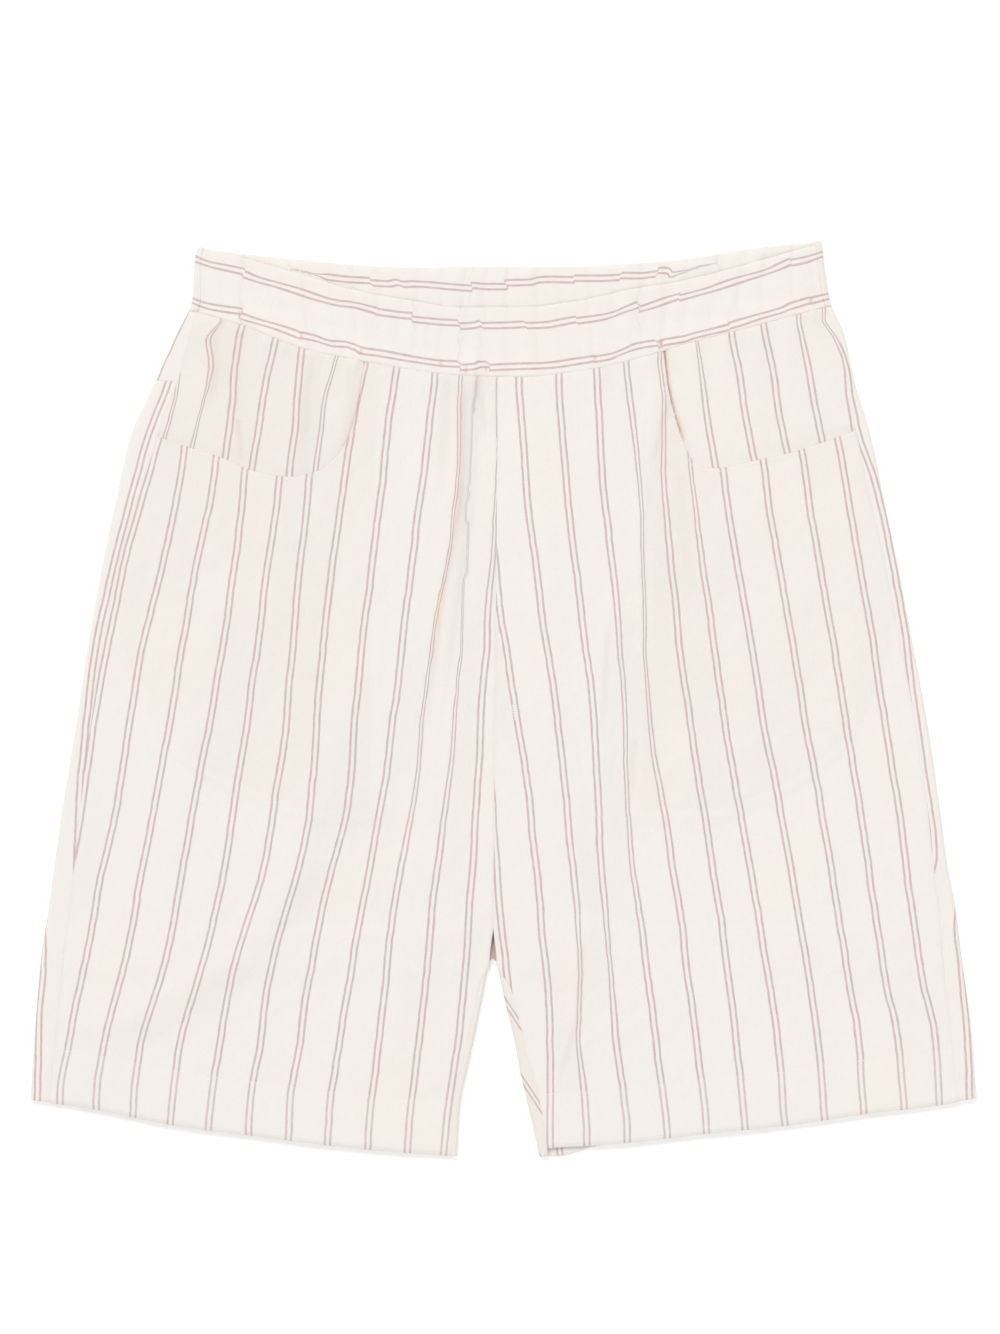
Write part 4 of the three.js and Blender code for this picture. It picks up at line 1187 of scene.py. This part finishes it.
def front_band():
    """The front half of the waistband, from side seam to side seam, gathered on its elastic."""
    left, right = LEGS["left"], LEGS["right"]

    def outer(y):
        return left.side_seam(y) + SEAM_GAP / 2

    def inner(y):
        return right.side_seam(y) - SEAM_GAP / 2

    share = np.linspace(0, 1, int(FRONT_BAND_WIDTH / BAND_STEP))
    top_y = settle(band_top, 235, outer, inner, share)
    low_y = settle(waist_seam, 200, outer, inner, share)
    t = np.concatenate([[0, 0.02, 0.05], np.linspace(0.09, 0.92, 28), [0.95, 0.975, 1]])[:, None]
    y = mix(top_y[None], low_y[None], t)
    x = mix(outer(y), inner(y), share[None])
    from_end = np.minimum(x - left.outline(y), right.outline(y) - x) - BAND_TOP / 2
    free = smooth(from_end / 12)
    relief = free * (0.8 * gathers_at(x, np.zeros(x.shape)) + band_relief(x, t, 41))
    crown = FRONT_CROWN * np.sin(math.pi * np.clip(t, 0, 1)) ** 0.6
    edge_dip = FRONT_EDGE_DIP * (2 - smooth(t / 0.07))
    end_dip = seam_dip(np.minimum(x - outer(y), inner(y) - x), 0.05, 0.8)
    z = BAND_TOP + relief + crown - edge_dip - end_dip
    sides = [top_at(leg, x[-1:], y[-1:] - 1.5) for leg in (left, right)]
    meet = np.where(x[-1:] < CENTRE_WAIST[0], sides[0], sides[1]) + 0.12
    z = mix(z, meet - 0.1 * smooth((t - 0.97) / 0.03), smooth((t - 0.55) / 0.42))
    under = BAND_TOP - BAND_WALL + 0.4 * (1 - smooth(t / 0.06))
    under = np.minimum(under, z - 1.0)
    across = band_across(x, y, BAND_UPPER, BAND_LOWER)
    knots = knots_at(x, y)
    z -= KNOT_DEPTH * np.minimum(knots, 1.5)
    # Painted shade: in the knots and pinches, along the seam, and along the top edge, which faces the
    # light.
    painted_shade = knots + pinch_tone(x, t) + 0.05 * smooth((t - 0.95) / 0.05) + 0.08 * (1 - smooth(t / 0.2))
    sheet = Sheet()
    sheet.add(stack(x, y, z), stack(x, y, under), across, x, painted_shade, bulge=(0.8, 0.25, 0.1, 0.1))
    return sheet


def back_band():
    """The back half of the waistband, folded up at both sides to meet the front half."""
    radius = BAND_TOP / 2
    left, right = LEGS["left"], LEGS["right"]

    def edge(leg):
        return lambda y: leg.outline(y) - leg.out * radius

    share = np.linspace(0, 1, int(BACK_BAND_WIDTH / BAND_STEP))
    top_y = settle(back_top, 240, edge(left), edge(right), share)
    low_y = settle(back_seam, 205, edge(left), edge(right), share)
    fine, coarse = np.linspace(0.1, 0.48, 22), np.linspace(0.54, 0.94, 8)
    t = np.concatenate([[0, 0.03, 0.07], fine, coarse, [0.97, 1]])[:, None]
    y = mix(top_y[None], low_y[None], t)
    x = mix(edge(left)(y), edge(right)(y), share[None])
    ends = smooth(np.minimum(share, 1 - share) / 0.06)[None]
    wave = (band_relief(x, t, 43) + 0.35 * np.sin(x / 6.5)) * ends * smooth(t / 0.06)
    crown = BACK_CROWN * (np.sin(math.pi * t) ** 0.6 - 1)
    flat_in = stack(x, y, BAND_WALL + crown + wave * 0.8 - 0.4 * (1 - smooth(t / 0.08)))
    flat_out = stack(x, y, np.maximum(0, 0.12 + 0.25 * wave))
    across = band_across(x, y, BACK_PAIR, shifted(BACK_PAIR, PITCH / PIXEL), BACK_PAIR_NARROW)
    # Painted shade in the pinches here, and on the turned ends further on.
    painted_shade = pinch_tone(x, t)
    outs, ins, cloths, painted_shades = [], [], [], []
    for leg in (left, right):
        middle = edge(leg)
        high = float(back_top(middle(240)))
        low = float(waist_seam(middle(212))) + SEAM_GAP
        side_y = mix(high, low, t[:, 0])
        round_out, round_in = turned(leg.outline(side_y), side_y, leg.out, radius, BAND_WALL)
        seam = (leg.side_seam(side_y) + leg.out * SEAM_GAP / 2)[:, None]
        s = np.linspace(0, 1, 6)[None, 1:]
        strip_x = mix(middle(side_y)[:, None], seam, s)
        strip_y = side_y[:, None]
        top = BAND_TOP - seam_dip(np.abs(strip_x - seam), 0.05, 0.8) * s
        outs.append(np.concatenate([round_out[:, 1:], stack(strip_x, strip_y, top)], axis=1))
        strip_in = stack(strip_x, strip_y, BAND_TOP - BAND_WALL)
        ins.append(np.concatenate([round_in[:, 1:], strip_in], axis=1))
        cloths.append(band_across(outs[-1][..., 0], outs[-1][..., 1], BAND_UPPER, BAND_LOWER))
        painted_shades.append(np.full(cloths[-1].shape, BAND_END_PAINTED_SHADE))
    outside = np.concatenate([outs[0][:, ::-1], flat_out, outs[1]], axis=1)
    inside = np.concatenate([ins[0][:, ::-1], flat_in, ins[1]], axis=1)
    across = np.concatenate([cloths[0][:, ::-1], across, cloths[1]], axis=1)
    painted_shade = np.concatenate([painted_shades[0][:, ::-1], painted_shade, painted_shades[1]], axis=1)
    sheet = Sheet()
    sheet.add(outside, inside, across, outside[..., 0], painted_shade, bulge=(0.7, 0.2, 0.1, 0.1))
    return sheet


def shifted(runs, pixels):
    return [[(across, down + pixels) for across, down in run] for run in runs]


class Nodes:
    """Short calls for making a material's nodes and joining them."""

    def __init__(self, name):
        self.material = bpy.data.materials.new(name)
        self.material.use_nodes = True
        self.tree = self.material.node_tree
        self.shader = self.tree.nodes["Principled BSDF"]

    def node(self, kind, **settings):
        made = self.tree.nodes.new(kind)
        for key, value in settings.items():
            setattr(made, key, value)
        return made

    def put(self, value, socket):
        if hasattr(value, "is_output"):
            self.tree.links.new(value, socket)
        else:
            socket.default_value = value

    def math(self, operation, a, b=0.0):
        made = self.node("ShaderNodeMath", operation=operation)
        for value, socket in zip((a, b), made.inputs):
            self.put(value, socket)
        return made.outputs[0]

    def times(self, a, b):
        return self.math("MULTIPLY", a, b)

    def plus(self, a, b):
        return self.math("ADD", a, b)

    def minus(self, a, b):
        return self.math("SUBTRACT", a, b)

    def ramp(self, value, low, high):
        made = self.node("ShaderNodeMapRange", interpolation_type="SMOOTHSTEP")
        self.put(value, made.inputs["Value"])
        self.put(low, made.inputs["From Min"])
        self.put(high, made.inputs["From Max"])
        return made.outputs["Result"]

    def colour_mix(self, factor, a, b):
        made = self.node("ShaderNodeMix", data_type="RGBA")
        self.put(factor, made.inputs["Factor"])
        self.put(a, made.inputs[6])
        self.put(b, made.inputs[7])
        return made.outputs[2]

    def vector(self, x, y):
        made = self.node("ShaderNodeCombineXYZ")
        for value, socket in zip((x, y), made.inputs):
            self.put(value, socket)
        return made.outputs[0]

    def noise(self, vector, scale, detail=2.0, roughness=0.5):
        made = self.node("ShaderNodeTexNoise")
        self.put(vector, made.inputs["Vector"])
        made.inputs["Scale"].default_value = scale
        made.inputs["Detail"].default_value = detail
        made.inputs["Roughness"].default_value = roughness
        return made.outputs["Fac"]

    def bump(self, height, distance):
        raised = self.node("ShaderNodeBump")
        raised.inputs["Distance"].default_value = distance
        self.put(height, raised.inputs["Height"])
        return raised.outputs[0]

    def shade(self, inputs):
        """Gives the shader's named inputs their values."""
        for socket, value in inputs.items():
            self.put(value, self.shader.inputs[socket])


# Colours of the cloth and of its stripes, each with a second one that it drifts towards, the colour
# of painted shade (also used faintly for the weave between threads), a pale colour for pale threads
# and painted highlights, and the millimetres from thread to thread.
CREAM = (0.895, 0.845, 0.79, 1)
CREAM_COOL = (0.88, 0.845, 0.80, 1)
PAINTED_SHADE_AND_WEAVE = (0.66, 0.44, 0.33, 1)
PALE_THREAD_AND_HIGHLIGHT = (0.93, 0.875, 0.82, 1)
STRIPE = (0.585, 0.44, 0.425, 1)
STRIPE_PALE = (0.655, 0.515, 0.49, 1)
THREAD_EVERY = 0.42


def cotton(name, crumpled):
    """Light plain-weave cotton with woven stripes read from the cloth's own coordinates, and painted shade
    and highlight.
    """
    n = Nodes(name)
    cloth = n.node("ShaderNodeAttribute", attribute_name="cloth").outputs["Vector"]
    parts = n.node("ShaderNodeSeparateXYZ")
    n.put(cloth, parts.inputs[0])
    across, along, painted_shade = parts.outputs

    def uneven(across_scale, along_scale, detail, roughness=0.5):
        place = n.vector(n.times(across, across_scale), n.times(along, along_scale))
        return n.noise(place, 1.0, detail, roughness)

    # Threads: warp runs along the stripes and weft across, each a little uneven.
    streak = uneven(2.2, 0.03, 3)
    weft = uneven(0.03, 2.0, 3)
    warp_wave = n.math("SINE", n.times(across, 2 * math.pi / THREAD_EVERY))
    weft_wave = n.math("SINE", n.times(along, 2 * math.pi / THREAD_EVERY))
    weave = n.times(warp_wave, weft_wave)
    # Distance from the middle of the nearest pair, then from the nearer of its two lines.
    turns = n.math("DIVIDE", n.plus(across, n.times(n.minus(weft, 0.5), 0.16)), PITCH)
    from_pair = n.minus(n.math("FRACT", n.plus(turns, 0.5)), 0.5)
    off = n.math("ABSOLUTE", n.times(from_pair, PITCH))
    from_line = n.math("ABSOLUTE", n.minus(off, PAIR_HALF))
    half = n.plus(LINE_HALF - 0.14, n.times(weft, 0.28))
    line = n.minus(1.0, n.ramp(from_line, n.minus(half, 0.2), n.plus(half, 0.2)))
    patchy = uneven(0.6, 0.2, 4, 0.65)
    broad = uneven(0.02, 0.012, 2)
    ground = n.colour_mix(n.ramp(broad, 0.3, 0.7), CREAM, CREAM_COOL)
    # Pale threads and a faint weave between threads are the cloth's own; they borrow the colours of the
    # painted highlight and painted shade.
    ground = n.colour_mix(n.times(n.ramp(streak, 0.35, 0.8), 0.10), ground, PALE_THREAD_AND_HIGHLIGHT)
    ground = n.colour_mix(n.times(n.ramp(weave, 0.2, 1.0), 0.05), ground, PAINTED_SHADE_AND_WEAVE)
    stripe = n.colour_mix(n.ramp(patchy, 0.38, 0.62), STRIPE, STRIPE_PALE)
    stripe = n.colour_mix(n.times(n.ramp(weft_wave, 0.1, 1.0), 0.16), stripe, PALE_THREAD_AND_HIGHLIGHT)
    colour = n.colour_mix(n.times(line, 0.93), ground, stripe)
    # The painted shade darkens the cloth towards the shade colour where it is above 0, and below 0 it
    # paints a highlight.
    colour = n.colour_mix(n.times(n.math("MAXIMUM", painted_shade, 0.0), 0.5), colour, PAINTED_SHADE_AND_WEAVE)
    colour = n.colour_mix(n.math("MAXIMUM", n.times(painted_shade, -1.0), 0.0), colour, PALE_THREAD_AND_HIGHLIGHT)
    crumple = uneven(0.11, 0.07, 4, 0.55)
    threads = n.plus(n.times(weave, 0.03), n.times(n.plus(streak, weft), 0.10))
    n.shade({
        "Base Color": colour,
        "Roughness": n.plus(0.78, n.times(streak, 0.14)),
        "Sheen Weight": 0.12,
        "Sheen Roughness": 0.6,
        "Specular IOR Level": 0.25,
        "Normal": n.bump(n.plus(threads, n.times(crumple, crumpled)), MM),
    })
    return n.material


def thread_material(name, dull, fresh):
    """Twisted sewing thread in a colour that varies between two."""
    n = Nodes(name)
    twist = n.noise(n.node("ShaderNodeTexCoord").outputs["Object"], 4200.0, 3)
    n.shade({
        "Base Color": n.colour_mix(n.ramp(twist, 0.3, 0.7), dull, fresh),
        "Roughness": 0.55,
        "Sheen Weight": 0.1,
        "Normal": n.bump(twist, 0.05 * MM),
    })
    return n.material


class Stitches:
    """Short arched tubes of thread laid on a sheet along lines given across and along it."""

    # Along a stitch, as shares of its length, how high it stands and how thick it is, in radii.
    RINGS = (
        (-0.5, -1.1, 0.35), (-0.36, 0.2, 0.95), (0.0, 0.45, 1.0), (0.36, 0.2, 0.95), (0.5, -1.1, 0.35)
    )
    ROUND = 6

    def __init__(self, sheet, side=1):
        """`side` is 1 for the top side of the garment and -1 for its underside."""
        self.side = side
        points, faces = np.concatenate(sheet.points), np.concatenate(sheet.faces)
        self.tree = BVHTree.FromPolygons(points, faces.tolist())
        self.points, self.faces = [], []

    def on_cloth(self, x, y):
        """The point on the sheet's outside, or None where there is no cloth."""
        start, towards = Vector((x, y, 30 * self.side)), Vector((0, 0, -self.side))
        found = self.tree.ray_cast(start, towards)[0]
        return None if found is None else np.array(found)

    def one(self, start, end, radius):
        start, end = self.on_cloth(*start), self.on_cloth(*end)
        if start is None or end is None:
            return
        ahead = end - start
        length = np.linalg.norm(ahead)
        ahead /= length
        up = np.array([0, 0, float(self.side)])
        across = np.cross(up, ahead)
        across /= np.linalg.norm(across)
        up = np.cross(ahead, across)
        base = len(self.points)
        for along, lift, size in self.RINGS:
            centre = (start + end) / 2 + ahead * along * length + up * lift * radius
            for k in range(self.ROUND):
                angle = 2 * math.pi * k / self.ROUND
                arm = across * math.cos(angle) + up * math.sin(angle)
                self.points.append(centre + radius * size * arm)
        starts = range(base, len(self.points), self.ROUND)
        rings = [range(start, start + self.ROUND) for start in starts]
        for ring in rings[:-1]:
            for a, b in zip(ring, [*ring[1:], ring[0]]):
                self.faces.append((b, a, a + self.ROUND, b + self.ROUND))
        self.faces += [tuple(rings[0]), tuple(reversed(rings[-1]))]

    def run(self, line):
        """Stitches along a line of points across and along the cloth."""
        line = np.array(line, float)
        run = np.concatenate([[0], np.cumsum(np.linalg.norm(np.diff(line, axis=0), axis=1))])
        for start in np.arange(0.4, run[-1] - STITCH, STITCH_EVERY):
            ends = [[np.interp(s, run, line[:, k]) for k in range(2)] for s in (start, start + STITCH)]
            self.one(*ends, THREAD)

    def make(self, name, material):
        thing = new_thing(name, self.points, self.faces, material)
        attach(thing, "root")
        return thing


# A stitch's length, from one stitch to the next, the thread's radius, how far in from the scoop's
# edge its stitches run, and from a leg's inner edge the hem's.
STITCH = 2.3
STITCH_EVERY = 2.9
THREAD = 0.12
SCOOP_STITCH_INSET = 1.9
HEM_STITCH_INSET = 1.5

# The white bar tack on the right front: its middle in pixels, its height, width and lean, and the
# number of its stitches and their thread's radius.
TACK_PX = (513.8, 712.5)
TACK_HEIGHT = 7.6
TACK_WIDTH = 1.5
TACK_LEAN = 0.21
TACK_STITCHES = 9
TACK_THREAD = 0.24


def hem_line(edge, from_x, to_x):
    """The hem's line of stitches above its edge."""
    x = np.linspace(from_x, to_x, 90)
    return np.stack([x, edge(x) + HEM_DEPTH], axis=1)


def scoop_line(leg):
    """Just outside the scoop's edge, on the front."""
    x = np.linspace(leg.corner[0], leg.mouth_x, 200)
    y = leg.scoop(x)
    run_x, run_y = np.gradient(x), np.gradient(y)
    inset = SCOOP_STITCH_INSET * leg.out / np.hypot(run_x, run_y)
    return np.stack([x - run_y * inset, y + run_x * inset], axis=1)[4:-4]


def sew(leg):
    """The stitching that shows on one leg: its hem on both sides, and its pocket opening."""
    hem_y = leg.hem_front(leg.side_seam(HEM_SIDE_Y)) + HEM_DEPTH
    rows = Stitches(SHEETS[f"front_panel_{leg.side}"])
    inner_x = leg.front_inner(HEM_SIDE_Y) + leg.out * HEM_STITCH_INSET
    rows.run(hem_line(leg.hem_front, leg.side_seam(hem_y) - leg.out, inner_x))
    rows.run(scoop_line(leg))
    under = Stitches(SHEETS[f"back_panel_{leg.side}"], side=-1)
    outer_x = leg.outline(-190) - leg.out * EDGE_TOP
    under.run(hem_line(leg.hem_back, outer_x, leg.back_inner(HEM_SIDE_Y)))
    front, back = f"front_stitches_{leg.side}", f"back_stitches_{leg.side}"
    return rows.make(front, thread), under.make(back, thread)


def bar_tack():
    """A white bar tack on the right front: short stitches one above another."""
    rows = Stitches(SHEETS["front_panel_right"])
    middle = np.array([px_x(TACK_PX[0]), px_y(TACK_PX[1])])
    half = np.array([TACK_WIDTH / 2, 0.15])
    for k in range(TACK_STITCHES):
        up = TACK_HEIGHT * (k / (TACK_STITCHES - 1) - 0.5)
        at = middle + (-TACK_LEAN * up, up)
        rows.one(at - half, at + half, TACK_THREAD)
    white = thread_material("white_thread", (0.97, 0.965, 0.95, 1), (0.985, 0.98, 0.97, 1))
    return rows.make("bar_tack", white)


def light(name, place, size, power):
    """A square lamp at a place in metres that faces the middle of the frame."""
    lamp = bpy.data.lights.new(name, "AREA")
    lamp.shape = "SQUARE"
    lamp.size = size
    lamp.energy = power
    thing = bpy.data.objects.new(name, lamp)
    bpy.context.scene.collection.objects.link(thing)
    thing.location = place
    thing.rotation_euler = (-Vector(place)).to_track_quat("-Z", "Y").to_euler()
    thing.visible_camera = False


# Build the pieces.
cloth_material = cotton("striped_cotton", crumpled=0.55)
band_material = cotton("striped_cotton_band", crumpled=0.35)

SHEETS = {}
for sewn_piece in (front_panel, back_panel, hip_piece):
    for side, leg in LEGS.items():
        SHEETS[f"{sewn_piece.__name__}_{side}"] = sewn_piece(leg)
SHEETS["waistband_front"] = front_band()
SHEETS["waistband_back"] = back_band()

pieces = {}
for name, sheet in SHEETS.items():
    band = name.startswith("waistband")
    piece = sheet.make(name + "_cloth", band_material if band else cloth_material)
    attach(piece, "root")
    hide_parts(name)
    pieces[name] = piece

thread = thread_material("cream_thread", (0.86, 0.80, 0.73, 1), (0.93, 0.89, 0.84, 1))
stitches = {side: sew(leg) for side, leg in LEGS.items()}
tack = bar_tack()

# The floor that it lies on, white and a little lit from within, and just below the cloth.
FLOOR_SPAN = 4000
FLOOR_DROP = 0.4
FLOOR_GLOW = 0.17
floor_material = Nodes("floor")
floor_material.shade({
    "Base Color": (0.95, 0.95, 0.95, 1),
    "Emission Color": (1, 1, 1, 1),
    "Emission Strength": FLOOR_GLOW,
    "Roughness": 0.9,
})
ways = ((-1, -1), (1, -1), (1, 1), (-1, 1))
floor_corners = [(x * FLOOR_SPAN, y * FLOOR_SPAN, -FLOOR_DROP) for x, y in ways]
floor = new_thing("floor", floor_corners, [(0, 1, 2, 3)], floor_material.material)

# For each piece, the stitching that lies on it, with the bar tack on the right front.
for name, piece in pieces.items():
    kind = name.removesuffix("_left").removesuffix("_right")
    side = name.split("_")[-1]
    sewn = {"front_panel": 0, "back_panel": 1}.get(kind)
    with_pieces = [] if sewn is None else [stitches[side][sewn]]
    if name == "front_panel_right":
        with_pieces.append(tack)

# Light: the places and sizes of the lamps in metres, and their watts.
WORLD_STRENGTH = 0.705
world = bpy.data.worlds.new("studio")
world.use_nodes = True
background = world.node_tree.nodes["Background"]
background.inputs["Color"].default_value = (1, 1, 1, 1)
background.inputs["Strength"].default_value = WORLD_STRENGTH
bpy.context.scene.world = world
light("key", place=(-1.75, 3.5, 5.0), size=2.5, power=150)
light("fill", place=(1.2, -0.8, 2.4), size=1.6, power=9)
bpy.context.scene.view_settings.view_transform = "Standard"

# Camera: metres above the cloth, millimetres of sensor, and the pixel it stands over.
CAMERA_HEIGHT = 2.6
SENSOR = 24.0
VIEW_CENTRE_PX = (500, 667)
camera = bpy.data.cameras.new("camera")
camera.sensor_fit = "VERTICAL"
camera.sensor_height = SENSOR
camera.lens = SENSOR * CAMERA_HEIGHT / (PHOTO_SIZE[1] * PIXEL * MM)
camera_thing = bpy.data.objects.new("camera", camera)
view_x, view_y = float(px_x(VIEW_CENTRE_PX[0])) * MM, float(px_y(VIEW_CENTRE_PX[1])) * MM
camera_thing.location = (view_x, view_y, CAMERA_HEIGHT + EDGE_TOP * MM)
bpy.context.scene.collection.objects.link(camera_thing)
bpy.context.scene.camera = camera_thing
